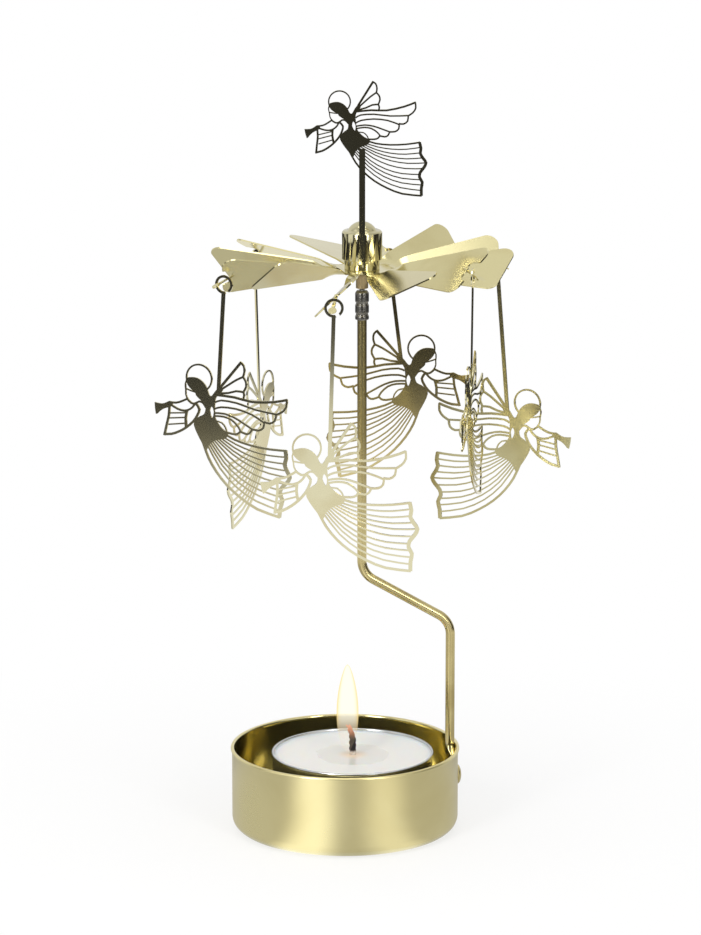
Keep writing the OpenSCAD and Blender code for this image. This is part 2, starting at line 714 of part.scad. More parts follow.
module tealight_cup() {
    color("#b9bab8") translate([tealight_offset, 0, tealight_base_z]) difference() {
        union() {
            cylinder(r = tealight_r, h = tealight_h);
            rotate_extrude() translate([tealight_r, tealight_h - 0.3]) circle(0.3);
        }
        translate([0, 0, tealight_wall]) cylinder(r = wax_r, h = tealight_h);
    }
}

module tealight_wax() {
    color("#f1efe9") translate([tealight_offset, 0, 0]) difference() {
        translate([0, 0, wax_low_z]) cylinder(r = wax_r, h = wax_top_z - wax_low_z);
        translate([0, 0, wax_low_z]) cylinder(d = wick_clip_d, h = clip_t);
        translate([0, 0, wax_low_z]) cylinder(d = wick_d + 2 * clip_barrel_wall, h = clip_t + clip_barrel_h);
        translate([0, 0, wax_low_z]) cylinder(d = wick_d, h = tealight_h);
    }
}

module wick_clip() {
    color("#c3c4c4") translate([tealight_offset, 0, wax_low_z]) difference() {
        union() {
            cylinder(d = wick_clip_d, h = clip_t);
            cylinder(d = wick_d + 2 * clip_barrel_wall, h = clip_t + clip_barrel_h);
        }
        translate([0, 0, clip_t]) cylinder(d = wick_d, h = clip_barrel_h + 1);
    }
}

module wick() {
    wick_bend_z = wax_top_z + wick_h / 2;
    wick_bend_r = wick_d * 1.5;
    color("#2b2320") translate([tealight_offset, 0, 0]) union() {
        translate([0, 0, wick_foot_z]) cylinder(d = wick_d, h = wick_bend_z - wick_foot_z);
        translate([-wick_bend_r, 0, wick_bend_z]) rotate([90, 0, 0]) {
            rotate_extrude(angle = wick_lean) translate([wick_bend_r, 0]) circle(d = wick_d);
            rotate([0, 0, wick_lean]) translate([wick_bend_r, 0, 0]) rotate([-90, 0, 0])
                cylinder(d1 = wick_d, d2 = wick_d * 0.7, h = wick_h / 2);
        }
    }
}

cup();
pole_wire();
foot_rivet();
pivot_ferrule();
pivot_pin();
rotor();
hub_cap();
bearing_cup();
hub_sleeve();
top_angel();
pendant(0);  // pendant_1
pendant(1);  // pendant_2
pendant(2);  // pendant_3
pendant(3);  // pendant_4
pendant(4);  // pendant_5
pendant(5);  // pendant_6
tealight_cup();
tealight_wax();
wick_clip();
wick();
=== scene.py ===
# %% [markdown]
# # An angel chime carousel, dressed for the camera
# A tealight burns in a round brass cup. Its warm air turns a rotor of twelve blades, and from every second
# blade hangs a pierced angel. The solids come from the CAD model, so every piece below takes its size and
# its place from them. Blender adds what solids can't show: rounded sheet edges, crimps, flutes, wax, fire
# and finish.

import math

import bmesh
import bpy
from mathutils import Matrix, Vector


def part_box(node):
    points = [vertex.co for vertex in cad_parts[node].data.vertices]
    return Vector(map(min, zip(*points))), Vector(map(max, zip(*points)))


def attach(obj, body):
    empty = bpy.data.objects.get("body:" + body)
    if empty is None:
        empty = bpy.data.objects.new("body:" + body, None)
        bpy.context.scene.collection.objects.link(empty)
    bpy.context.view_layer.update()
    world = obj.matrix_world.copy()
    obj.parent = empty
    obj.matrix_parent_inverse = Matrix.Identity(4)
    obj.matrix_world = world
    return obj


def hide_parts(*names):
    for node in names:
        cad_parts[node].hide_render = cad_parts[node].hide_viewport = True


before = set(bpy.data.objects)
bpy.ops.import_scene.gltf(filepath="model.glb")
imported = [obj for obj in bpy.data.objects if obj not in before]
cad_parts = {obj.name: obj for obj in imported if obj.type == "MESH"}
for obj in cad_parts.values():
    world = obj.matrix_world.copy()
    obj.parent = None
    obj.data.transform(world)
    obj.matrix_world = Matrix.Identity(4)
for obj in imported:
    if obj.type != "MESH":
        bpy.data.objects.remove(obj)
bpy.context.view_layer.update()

# %% [markdown]
# ## Working in millimetres
# The frame is in metres, but sheet and wire are easier to think of in millimetres. These helpers read
# the size of a CAD node in millimetres, and turn millimetre points into a mesh whose object stays at the
# origin, so that object coordinates and the shared frame agree.

# %% Millimetre helpers
MM = 0.001
FULL_TURN = 2 * math.pi


def node_box(node):
    low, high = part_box(node)
    return Vector(low) / MM, Vector(high) / MM


def node_middle(node):
    low, high = node_box(node)
    return (low + high) / 2


def add_object(name, mesh):
    obj = bpy.data.objects.new(name, mesh)
    bpy.context.scene.collection.objects.link(obj)
    return obj


def mesh_from_points(name, points, faces):
    mesh = bpy.data.meshes.new(name)
    mesh.from_pydata([Vector(p) * MM for p in points], [], faces)
    mesh.update()
    return add_object(name, mesh)


def turn_faces_outwards(obj):
    work = bmesh.new()
    work.from_mesh(obj.data)
    bmesh.ops.remove_doubles(work, verts=work.verts, dist=0.0005 * MM)
    bmesh.ops.recalc_face_normals(work, faces=work.faces)
    work.to_mesh(obj.data)
    work.free()


def smooth_but_sharp_past(obj, degrees):
    for face in obj.data.polygons:
        face.use_smooth = True
    obj.data.set_sharp_from_angle(angle=math.radians(degrees))


cup_low, cup_high = node_box("cup")
hub_low, hub_high = node_box("hub_cap")
axis_x = node_middle("hub_cap").x
print("cup is", round(cup_high.z, 2), "mm high, the rotor's axis stands at x =", round(axis_x, 2))

# %% [markdown]
# ## The camera
# The photograph was taken with a long lens from a metre away, a little above the carousel. The camera's
# place was fitted to the ellipses of the cup and the tealight, so it is written as a distance, two angles
# and the point that it looks at.

# %% Camera
CAMERA_DISTANCE = 1065.0
CAMERA_AZIMUTH = math.radians(-6.0)
CAMERA_PITCH = math.radians(13.08)
CAMERA_LENS = 175.4
LOOK_AT = Vector((1.3, -0.1, 87.3))


def direction(azimuth, elevation):
    flat = math.cos(elevation)
    return Vector((math.sin(azimuth) * flat, -math.cos(azimuth) * flat, math.sin(elevation)))


camera_data = bpy.data.cameras.new("camera")
camera_data.lens = CAMERA_LENS
camera_data.sensor_width = 36.0
camera_data.clip_start = 0.01
camera = bpy.data.objects.new("camera", camera_data)
camera.location = (LOOK_AT + CAMERA_DISTANCE * direction(CAMERA_AZIMUTH, CAMERA_PITCH)) * MM
camera.rotation_euler = (LOOK_AT * MM - camera.location).to_track_quat("-Z", "Y").to_euler()
bpy.context.scene.collection.objects.link(camera)
bpy.context.scene.camera = camera
bpy.context.scene.view_settings.view_transform = "Standard"
print("camera at", [round(v, 3) for v in camera.location])

# %% [markdown]
# ## Small tools for node trees
# Shaders and Geometry Nodes are both graphs. add_node adds a node with its settings and its input values,
# and signal does the same and hands back one of the node's outputs. A Signal can stand in a formula: each
# operator adds one Math node, so the trees below read like sums.

# %% Node helpers


class Signal:
    """A node's output that can take part in a formula."""

    def __init__(self, socket):
        self.socket = socket
        self.tree = socket.id_data

    def __add__(self, other):
        return maths("ADD", self, other)

    def __sub__(self, other):
        return maths("SUBTRACT", self, other)

    def __rsub__(self, other):
        return maths("SUBTRACT", other, self)

    def __mul__(self, other):
        return maths("MULTIPLY", self, other)

    def __truediv__(self, other):
        return maths("DIVIDE", self, other)

    def __neg__(self):
        return self * -1.0


def put(socket, value):
    """Joins a signal to a socket, or sets the socket's own value."""
    if isinstance(value, Signal):
        value.tree.links.new(value.socket, socket)
    else:
        socket.default_value = value


def add_node(tree, kind, settings=None, **inputs):
    node = tree.nodes.new(kind)
    for key, value in (settings or {}).items():
        setattr(node, key, value)
    for key, value in inputs.items():
        put(node.inputs[key.replace("_", " ")], value)
    return node


def signals_of(node):
    """All the node's outputs by name."""
    return {socket.name: Signal(socket) for socket in node.outputs if socket.name}


def signal(tree, kind, output=0, settings=None, **inputs):
    return Signal(add_node(tree, kind, settings, **inputs).outputs[output])


def fill_in_order(node, *values):
    for socket, value in zip(node.inputs, values):
        put(socket, value)
    return Signal(node.outputs[0])


def maths(operation, *values):
    tree = next(value.tree for value in values if isinstance(value, Signal))
    return fill_in_order(add_node(tree, "ShaderNodeMath", {"operation": operation}), *values)


def sine(angle):
    return maths("SINE", angle)


def cosine(angle):
    return maths("COSINE", angle)


def between(value, low, high, out_low=0.0, out_high=1.0):
    """Goes softly from one level to another while the value goes from low to high."""
    node = add_node(value.tree, "ShaderNodeMapRange", {"interpolation_type": "SMOOTHSTEP"})
    return fill_in_order(node, value, low, high, out_low, out_high)


def split(vector):
    """The three coordinates of a vector."""
    return list(signals_of(add_node(vector.tree, "ShaderNodeSeparateXYZ", Vector=vector)).values())


def flat_distance(x, y):
    """How far a point is from the upright line through the origin."""
    flat = signal(x.tree, "ShaderNodeCombineXYZ", X=x, Y=y)
    return signal(x.tree, "ShaderNodeVectorMath", "Value", {"operation": "LENGTH"}, Vector=flat)


def noise(place, scale, detail=2.0, distortion=0.0):
    return signal(place.tree, "ShaderNodeTexNoise", "Fac", Vector=place, Scale=scale, Detail=detail,
                  Distortion=distortion)


def mix_shaders(share, first, second):
    return fill_in_order(add_node(share.tree, "ShaderNodeMixShader"), share, first, second)


def mix_with(share, data_type, first_input, output, first, second):
    """A Mix node keeps a pair of inputs for each type of data; the first one's number says which pair."""
    node = add_node(share.tree, "ShaderNodeMix", {"data_type": data_type})
    for place, value in ((0, share), (first_input, first), (first_input + 1, second)):
        put(node.inputs[place], value)
    return Signal(node.outputs[output])


def mix_values(share, first, second):
    return mix_with(share, "FLOAT", 2, 0, first, second)


def mix_colours(share, first, second):
    return mix_with(share, "RGBA", 6, 2, first, second)


def colour(red, green, blue):
    return (red, green, blue, 1.0)


WHITE = colour(1, 1, 1)


def open_material(name):
    material = bpy.data.materials.new(name)
    material.use_nodes = True
    material.node_tree.nodes.clear()
    return material, material.node_tree


def object_place(tree):
    return signal(tree, "ShaderNodeTexCoord", "Object")


def principled(tree, **inputs):
    """Ends a material in the standard surface shader."""
    shader = signal(tree, "ShaderNodeBsdfPrincipled", **inputs)
    add_node(tree, "ShaderNodeOutputMaterial", Surface=shader)


print("node helpers ready")

# %% [markdown]
# ## World: a white backdrop with a dark room in front
# The photograph's background is pure white, but polished brass shows what stands in front of it as
# well: panels of light on both sides and a dark room behind the camera. The world gives the camera plain
# white. Other rays see a soft grey, and mirror rays see the panels and the dark room, each placed by
# bearing and height, so that they stay where they are when the view moves. Bearings are in degrees, and a
# height is the rise of a ray, from -1 straight down to 1 straight up.

# %% World
LEFT_PANEL = -76
RIGHT_PANEL = 47
RIGHT_PANEL_LEVEL = 0.85
PANEL_HALF, PANEL_SOFT = 12, 9
PANEL_LOW, PANEL_HIGH = -0.30, 0.75
PANEL_LOW_SOFT, PANEL_HIGH_SOFT = 0.08, 0.15
BACK_WALL, BACK_FROM, BACK_TO = 0.80, 95, 125
CEILING, CEILING_FROM, CEILING_TO = 0.66, 0.30, 0.62
DARK_ROOM = 0.035
SOFT_LEVEL = 0.62

world = bpy.data.worlds.new("studio")
world.use_nodes = True
bpy.context.scene.world = world
sky = world.node_tree
sky.nodes.clear()


def bearing_of(x, y):
    """The bearing of a direction, 0 towards the viewer and growing to the right."""
    return maths("ARCTAN2", x, -y)


def angle_off(angle, middle):
    return maths("ABSOLUTE", angle - math.radians(middle))


ray_x, ray_y, height = split(signal(sky, "ShaderNodeTexCoord", "Generated"))
bearing = bearing_of(ray_x, ray_y)


def panel(middle):
    """A mask that is 1 on a panel of light round the given bearing in degrees."""
    edge, outer = math.radians(PANEL_HALF), math.radians(PANEL_HALF + PANEL_SOFT)
    across = between(angle_off(bearing, middle), edge, outer, 1.0, 0.0)
    rise = between(height, PANEL_LOW - PANEL_LOW_SOFT, PANEL_LOW)
    fall = between(height, PANEL_HIGH, PANEL_HIGH + PANEL_HIGH_SOFT, 1.0, 0.0)
    return across * (rise * fall)


behind = between(maths("ABSOLUTE", bearing), math.radians(BACK_FROM), math.radians(BACK_TO))
above = between(height, CEILING_FROM, CEILING_TO)
bright = maths("MAXIMUM", behind * BACK_WALL, above * CEILING)
bright = maths("MAXIMUM", bright, panel(LEFT_PANEL))
bright = maths("MAXIMUM", bright, panel(RIGHT_PANEL) * RIGHT_PANEL_LEVEL)
mirror_level = bright * (1.0 - DARK_ROOM) + DARK_ROOM

rays = signals_of(add_node(sky, "ShaderNodeLightPath"))
level = mix_values(rays["Is Glossy Ray"], SOFT_LEVEL, mirror_level)
seen_through = maths("MAXIMUM", rays["Is Camera Ray"], rays["Is Transmission Ray"])
backdrop = signal(sky, "ShaderNodeBackground", Color=WHITE, Strength=mix_values(seen_through, level, 1.0))
add_node(sky, "ShaderNodeOutputWorld", Surface=backdrop)
print("world: panels at", LEFT_PANEL, "and", RIGHT_PANEL, "degrees, dark room in front")

# %% [markdown]
# ## Lamps
# Two tall, narrow lamps stand left and right of the camera, like the strip lights of a product studio, and
# a wide third lights from above. The strips draw the two upright bands on the satin cup, and the wide lamp
# keeps the shadows faint.

# %% Lamps
LAMP_DISTANCE = 0.9


def soft_lamp(name, azimuth, elevation, width, tall, watts):
    lamp = bpy.data.lights.new(name, "AREA")
    lamp.shape = "RECTANGLE"
    lamp.size = width
    lamp.size_y = tall
    lamp.energy = watts
    obj = bpy.data.objects.new(name, lamp)
    aim = LOOK_AT * MM
    obj.location = aim + LAMP_DISTANCE * direction(math.radians(azimuth), math.radians(elevation))
    obj.rotation_euler = (aim - obj.location).to_track_quat("-Z", "Y").to_euler()
    bpy.context.scene.collection.objects.link(obj)


soft_lamp("lamp_left", -40, 20, 0.20, 0.75, 4.2)
soft_lamp("lamp_right", 26, 20, 0.12, 0.75, 2.2)
soft_lamp("lamp_above", 10, 82, 0.6, 0.6, 2.4)

# %% [markdown]
# ## The floor
# The carousel stands on plain white paper. To the camera the paper is as white as the backdrop, with a
# share of real shading near the cup, so that a faint shadow remains. In the mirror of the brass the paper
# is a bright round sheet that ends not far away, where the dark room starts: that edge is what makes the
# upper figures look dark and the lower ones pale. Near the cup the mirrored paper has painted shade, and
# two sectors of it carry painted pools of light from the strip lamps, which the satin cup draws out into
# upright bands. Distances on the paper are in metres.

# %% Floor
FLOOR_HALF = 900.0
FLOOR_DROP = 0.05
PAPER_END, PAPER_FADE, PAST_PAPER = 0.375, 0.07, 0.03
NEAR_PAINTED_SHADE, NEAR_TO = 0.59, 0.10
FAR_LEVEL, FAR_FROM = 0.92, 0.24
SHADOW_SHARE, SHADOW_FULL, SHADOW_END = 0.28, 0.04, 0.16

floor = mesh_from_points(
    "floor",
    [(x * FLOOR_HALF, y * FLOOR_HALF, -FLOOR_DROP) for x, y in ((-1, -1), (1, -1), (1, 1), (-1, 1))],
    [(0, 1, 2, 3)],
)
paper, tree = open_material("white_paper")
place_x, place_y, _ = split(object_place(tree))
away = flat_distance(place_x, place_y)
around = bearing_of(place_x, place_y)


def painted_lamp_pool(middle, half_width, soft, strength):
    """Painted light: a pool that a strip lamp would add to the paper round a bearing in degrees, seen only in
    mirror rays.
    """
    inner, outer = math.radians(half_width - soft), math.radians(half_width + soft)
    return between(angle_off(around, middle), inner, outer, strength, 0.0)


# Painted shade and painted light: in mirror rays the paper near the cup is painted darker, with two painted pools
# of lamp light on it.
painted_near_shade_and_pools = painted_lamp_pool(-30, 15, 10, 0.70) + painted_lamp_pool(25, 14, 11, 0.42) + NEAR_PAINTED_SHADE
sheet_level = between(away, NEAR_TO, FAR_FROM, painted_near_shade_and_pools, FAR_LEVEL)
sheet_end = between(away, PAPER_END, PAPER_END + PAPER_FADE, 1.0, PAST_PAPER)
kept_shading = between(away, SHADOW_FULL, SHADOW_END, SHADOW_SHARE, 0.0)
rays = signals_of(add_node(tree, "ShaderNodeLightPath"))
shaded = signal(tree, "ShaderNodeBsdfPrincipled", Base_Color=colour(0.9, 0.9, 0.895), Roughness=0.7)
white = signal(tree, "ShaderNodeEmission", Color=WHITE, Strength=1.0)
mirrored = signal(tree, "ShaderNodeEmission", Color=WHITE, Strength=sheet_level * sheet_end)
seen = mix_shaders(rays["Is Camera Ray"] * (1.0 - kept_shading), shaded, white)
add_node(tree, "ShaderNodeOutputMaterial", Surface=mix_shaders(rays["Is Glossy Ray"], seen, mirrored))
floor.data.materials.append(paper)
print("floor laid at z =", -FLOOR_DROP, "mm")

# %% [markdown]
# ## A shared effect: metal that has been rolled, handled and aged
# Rolled sheet and drawn wire are never one flat colour. There are soft clouds where the lacquer has aged,
# a fine grain from rolling, and slow waves where a thin sheet was bent by hand. All the metals here need
# that, so it is one node group, and each metal gives it its own colours and amounts. One more input, the
# hang, leans the mirror of a whole sheet forwards or back, as a pendant leans on its ring.

# %% Node group for aged metal


def open_group(kind, name, takes, gives):
    """A node group with named inputs and outputs, with its inputs as signals and its output node."""
    group = bpy.data.node_groups.new(name, kind)
    for title, socket_type, value in takes:
        socket = group.interface.new_socket(name=title, in_out="INPUT", socket_type="NodeSocket" + socket_type)
        if value is not None:
            socket.default_value = value
    for title, socket_type in gives:
        group.interface.new_socket(name=title, in_out="OUTPUT", socket_type="NodeSocket" + socket_type)
    return group, signals_of(group.nodes.new("NodeGroupInput")), group.nodes.new("NodeGroupOutput")


aged_metal, given, result = open_group(
    "ShaderNodeTree", "aged_metal",
    [("Place", "Vector", None), ("Clean", "Color", (0.8, 0.72, 0.45, 1)), ("Aged", "Color", (0.5, 0.42, 0.2, 1)),
     ("Age", "Float", 0.3), ("Smooth", "Float", 0.1), ("Rough", "Float", 0.2), ("Cloud Scale", "Float", 60.0),
     ("Grain Scale", "Float", 2500.0), ("Grain Depth", "Float", 0.001), ("Wave Scale", "Float", 30.0),
     ("Wave Depth", "Float", 0.05), ("Hang", "Float", 0.0)],
    [("Colour", "Color"), ("Roughness", "Float"), ("Height", "Float")],
)
cloud = noise(given["Place"], given["Cloud Scale"], 4.0, 0.4)
grain = noise(given["Place"], given["Grain Scale"])
waves = noise(given["Place"], given["Wave Scale"], 0.0)
patches = between(cloud, 0.38, 0.68)
mottle = cloud * 0.7 + grain * 0.3
upwards = split(given["Place"])[2] / MM
wavy_height = waves * given["Wave Depth"] + grain * given["Grain Depth"]
put(result.inputs["Colour"], mix_colours(patches * given["Age"], given["Clean"], given["Aged"]))
put(result.inputs["Roughness"], (given["Rough"] - given["Smooth"]) * mottle + given["Smooth"])
put(result.inputs["Height"], wavy_height + upwards * given["Hang"])
print("aged_metal takes", list(given))

# %% [markdown]
# ## The metals
# The photograph shows two finishes of brass: satin on the cup and the wire, which blurs reflections into
# broad bands, and bright on the rotor, the cap and the figures, which reflects the room like a dull
# mirror. The ferrule is dark nickel, the sleeve is browned brass and the tealight is thin aluminium.

# %% Metal materials


def metal(name, clean, aged, age, smooth, rough, cloud=60.0, grain=(2500.0, 0.001), waves=(30.0, 0.0), hang=0.0):
    material, tree = open_material(name)
    ageing = signals_of(add_node(
        tree, "ShaderNodeGroup", {"node_tree": aged_metal}, Place=object_place(tree), Clean=colour(*clean),
        Aged=colour(*aged), Age=age, Smooth=smooth, Rough=rough, Cloud_Scale=cloud, Grain_Scale=grain[0],
        Grain_Depth=grain[1], Wave_Scale=waves[0], Wave_Depth=waves[1], Hang=hang))
    bump = signal(tree, "ShaderNodeBump", Strength=1.0, Distance=MM, Height=ageing["Height"])
    principled(tree, Base_Color=ageing["Colour"], Metallic=1.0, Roughness=ageing["Roughness"], Normal=bump)
    return material


satin_brass = metal("satin_brass", (0.84, 0.75, 0.40), (0.69, 0.59, 0.27), 0.5, 0.24, 0.33,
                    cloud=45.0, grain=(3200.0, 0.002))
inner_brass = metal("inner_brass", (0.80, 0.73, 0.42), (0.58, 0.50, 0.22), 0.5, 0.10, 0.20,
                    cloud=60.0, grain=(3000.0, 0.001), waves=(40.0, 0.10))
wire_brass = metal("wire_brass", (0.64, 0.54, 0.26), (0.42, 0.33, 0.13), 0.6, 0.14, 0.26,
                   cloud=90.0, grain=(2600.0, 0.0001))
bright_brass = metal("bright_brass", (0.77, 0.70, 0.39), (0.62, 0.53, 0.25), 0.5, 0.14, 0.22,
                     cloud=55.0, grain=(2400.0, 0.0002), waves=(45.0, 0.10))
mirror_brass = metal("mirror_brass", (0.66, 0.61, 0.38), (0.48, 0.42, 0.22), 0.35, 0.05, 0.12,
                     cloud=120.0, grain=(2600.0, 0.0003))
FIGURE_SHEET = {"cloud": 70.0, "grain": (2400.0, 0.0002), "waves": (26.0, 0.16)}
FIGURE_TONES = ((0.80, 0.75, 0.50), (0.58, 0.47, 0.22), 0.45, 0.08, 0.16)
figure_brass = metal("figure_brass", *FIGURE_TONES, **FIGURE_SHEET)
leaning_brass = metal("leaning_brass", *FIGURE_TONES, **FIGURE_SHEET, hang=0.04)
upturned_brass = metal("upturned_brass", (0.80, 0.68, 0.34), *FIGURE_TONES[1:], **FIGURE_SHEET, hang=-0.013)
# A darker copy of the figure brass, given to pendant_1.
darker_figure_brass = metal("darker_figure_brass", (0.60, 0.55, 0.31), (0.42, 0.35, 0.15), 0.45, 0.10, 0.18,
                        **FIGURE_SHEET)
dark_nickel = metal("dark_nickel", (0.27, 0.26, 0.24), (0.12, 0.11, 0.09), 0.6, 0.18, 0.34,
                    cloud=500.0, grain=(3000.0, 0.002))
browned_brass = metal("browned_brass", (0.48, 0.37, 0.20), (0.24, 0.17, 0.08), 0.7, 0.28, 0.45,
                      cloud=400.0, grain=(3000.0, 0.003))
foil_aluminium = metal("foil_aluminium", (0.66, 0.67, 0.67), (0.42, 0.43, 0.43), 0.5, 0.16, 0.32,
                       cloud=160.0, grain=(1500.0, 0.004), waves=(420.0, 0.06))
tin_plate = metal("tin_plate", (0.68, 0.69, 0.70), (0.5, 0.5, 0.49), 0.4, 0.22, 0.36, cloud=300.0)
print("metals:", [m.name for m in bpy.data.materials])

# %% [markdown]
# ## Turned pieces
# The cup is drawn from a round disc, and the cap, the ferrule and the sleeve are turned on a lathe, so each
# is one outline carried round an axis. A Screw modifier could do that, but a short function keeps the seam
# closed and the poles single, and lets every corner of the outline be rounded first, because it is the
# rounded edge that catches the light.

# %% Outline and lathe helpers


def arc(middle, radius, start, end, steps=8):
    """Points of an arc in an outline; the angles are in degrees, from the outward radius upwards."""
    angles = [math.radians(start + (end - start) * k / steps) for k in range(steps + 1)]
    return [(middle[0] + radius * math.cos(a), middle[1] + radius * math.sin(a)) for a in angles]


def eased(outline, radius, steps=3):
    """The outline with each inner corner replaced by a short bend that starts radius before it."""
    points = [Vector(p) for p in outline]
    done = [points[0]]
    for before, corner, after in zip(points, points[1:], points[2:]):
        back, ahead = before - corner, after - corner
        enter = corner + back.normalized() * min(radius, back.length / 2)
        leave = corner + ahead.normalized() * min(radius, ahead.length / 2)
        for k in range(steps + 1):
            t = k / steps
            done.append(enter * (1 - t) ** 2 + corner * 2 * t * (1 - t) + leave * t * t)
    done.append(points[-1])
    return [tuple(p) for p in done]


def lathe(name, outline, centre, around=160, material=None, sharp=35):
    """Carries an outline of (radius, height) round the vertical through centre and closes it."""
    points, rings = [], []
    for radius, up in outline:
        count = 1 if radius < 1e-6 else around
        rings.append(list(range(len(points), len(points) + count)))
        for k in range(count):
            angle = FULL_TURN * k / around
            points.append((centre[0] + radius * math.cos(angle), centre[1] + radius * math.sin(angle), up))
    pairs = list(zip(rings, rings[1:]))
    if len(rings[0]) > 1:
        pairs.append((rings[-1], rings[0]))
    faces = []
    for lower, upper in pairs:
        for k in range(around):
            corners = [lower[k % len(lower)], lower[(k + 1) % len(lower)],
                       upper[(k + 1) % len(upper)], upper[k % len(upper)]]
            faces.append(list(dict.fromkeys(corners)))
    obj = mesh_from_points(name, points, [f for f in faces if len(f) > 2])
    turn_faces_outwards(obj)
    smooth_but_sharp_past(obj, sharp)
    if material:
        obj.data.materials.append(material)
    return obj


print("lathe helpers ready")

# %% [markdown]
# ## The cup
# The cup is deep-drawn brass with a rounded bottom corner, and its rim is rolled outwards into a bead
# that stiffens the thin wall. Outside it is satin; inside it is brighter, and mirrors the tealight. The
# outline runs from the middle of the underside, up the wall, over the bead and down the inside.

# %% Cup
CUP_WALL = 0.5
CUP_CORNER = 3.0
BEAD_R = 0.45
BEAD_OUT = 0.3
FLAT_MARGIN = 2
cup_height = cup_high.z
cup_radius = (cup_high.x - cup_low.x) / 2 - BEAD_OUT
inner_radius = cup_radius - CUP_WALL
inner_corner = CUP_CORNER - CUP_WALL
bead_middle = (cup_radius + BEAD_OUT - BEAD_R, cup_height - BEAD_R)
under_bead = cup_height - 2.2 * BEAD_R

cup_outline = [(0, 0), (cup_radius - CUP_CORNER - FLAT_MARGIN, 0)]
cup_outline += arc((cup_radius - CUP_CORNER, CUP_CORNER), CUP_CORNER, -90, 0, 12)
cup_outline += [(cup_radius, cup_height / 2), (cup_radius, under_bead)]
cup_outline += arc(bead_middle, BEAD_R, -35, 215, 20)
cup_outline += [(inner_radius, under_bead), (inner_radius, cup_height / 2)]
cup_outline += arc((inner_radius - inner_corner, CUP_CORNER), inner_corner, 0, -90, 12)
cup_outline += [(inner_radius - inner_corner - FLAT_MARGIN, CUP_WALL), (0, CUP_WALL)]

cup = lathe("cup_shell", cup_outline, (0, 0), around=256, material=satin_brass, sharp=50)
cup.data.materials.append(inner_brass)
for face in cup.data.polygons:
    inside = math.hypot(face.center.x, face.center.y) < (inner_radius + 0.05) * MM
    face.material_index = int(inside and face.center.z > CUP_WALL / 2 * MM)
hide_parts("cup")
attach(cup, "stand")
print("cup:", len(cup.data.polygons), "faces")

# %% [markdown]
# ## The pole
# One piece of wire carries everything. It is bent twice, so that it goes round the flame and comes back
# over it. Geometry Nodes suit a bent wire: the path is four corners, Fillet Curve rounds them as the
# bending tool does, and Curve to Mesh draws the wire along it. The node tree has named inputs for the
# wire's thickness and the bends' radius.

# %% Geometry Nodes helpers


def open_shape_tree(name, inputs):
    geometry = ("Geometry", "Geometry")
    return open_group("GeometryNodeTree", name, [(*geometry, None), *inputs], [geometry])


def close_shape_tree(geometry, material, result):
    """Every tree ends in real geometry with its material."""
    real = signal(geometry.tree, "GeometryNodeRealizeInstances", Geometry=geometry)
    put(result.inputs[0], signal(geometry.tree, "GeometryNodeSetMaterial", Geometry=real, Material=material))


def finished_mesh(obj):
    """The object's mesh with its modifiers carried out; the object itself is removed."""
    bpy.context.view_layer.update()
    mesh = bpy.data.meshes.new_from_object(obj.evaluated_get(bpy.context.evaluated_depsgraph_get()))
    bpy.data.objects.remove(obj)
    return mesh


def grow(obj, tree, values, name):
    """Runs the tree on obj with these input values and returns the result as a plain mesh object."""
    sockets = {s.name: s.identifier for s in tree.interface.items_tree
               if s.item_type == "SOCKET" and s.in_out == "INPUT"}
    modifier = obj.modifiers.new(tree.name, "NODES")
    modifier.node_group = tree
    for title, value in values.items():
        modifier[sockets[title]] = value
    mesh = finished_mesh(obj)
    mesh.name = name
    return add_object(name, mesh)


def join_meshes(name, objects):
    """One object made of several, with their materials kept."""
    work = bmesh.new()
    materials = []
    for obj in objects:
        start = len(work.faces)
        work.from_mesh(obj.data)
        work.faces.ensure_lookup_table()
        slots = []
        for material in obj.data.materials:
            if material not in materials:
                materials.append(material)
            slots.append(materials.index(material))
        for face in work.faces[start:]:
            face.material_index = slots[face.material_index] if slots else 0
    mesh = bpy.data.meshes.new(name)
    work.to_mesh(mesh)
    work.free()
    for material in materials:
        mesh.materials.append(material)
    for obj in objects:
        bpy.data.objects.remove(obj)
    return add_object(name, mesh)


print("geometry helpers ready")

# %% Pole
WIRE_R = 1.1
BEND_RADIUS = 5.5
ARM_LOW = 49.5
ARM_HIGH = 61.7
FOOT_GAP = 0.05
FOOT_BELOW_RIM = 1.2
INTO_FOOT = 1.5
pole_low, pole_high = node_box("pole_wire")
foot_face = pole_high.x
foot_x = foot_face - WIRE_R - FOOT_GAP
foot_top = cup_height - FOOT_BELOW_RIM

bent_wire, given, result = open_shape_tree(
    "bent_wire",
    [("Bend Radius", "Float", BEND_RADIUS * MM), ("Wire Radius", "Float", WIRE_R * MM),
     ("Material", "Material", None)],
)
path = signal(bent_wire, "GeometryNodeMeshToCurve", Mesh=given["Geometry"])
bent = signal(bent_wire, "GeometryNodeFilletCurve", 0, {"mode": "POLY"}, Curve=path, Count=20,
              Radius=given["Bend Radius"])
section = signal(bent_wire, "GeometryNodeCurvePrimitiveCircle", Resolution=40, Radius=given["Wire Radius"])
drawn = signal(bent_wire, "GeometryNodeCurveToMesh", Curve=bent, Profile_Curve=section, Fill_Caps=True)
close_shape_tree(drawn, given["Material"], result)

corners = [(foot_x, 0, foot_top - INTO_FOOT), (foot_x, 0, ARM_LOW), (axis_x, 0, ARM_HIGH),
           (axis_x, 0, pole_high.z)]
wire_path = bpy.data.meshes.new("wire_path")
wire_path.from_pydata([Vector(c) * MM for c in corners], [(0, 1), (1, 2), (2, 3)], [])
wire = grow(add_object("wire_path", wire_path), bent_wire, {"Material": wire_brass}, "wire")
turn_faces_outwards(wire)
smooth_but_sharp_past(wire, 40)
print("wire:", len(wire.data.polygons), "faces")

# %% [markdown]
# The wire's end is pressed flat for the rivet. A press spreads round wire into a tongue, so its section
# changes from a circle to a wide, thin, rounded bar. That is a loft: a stack of rings whose two half
# widths change with height.

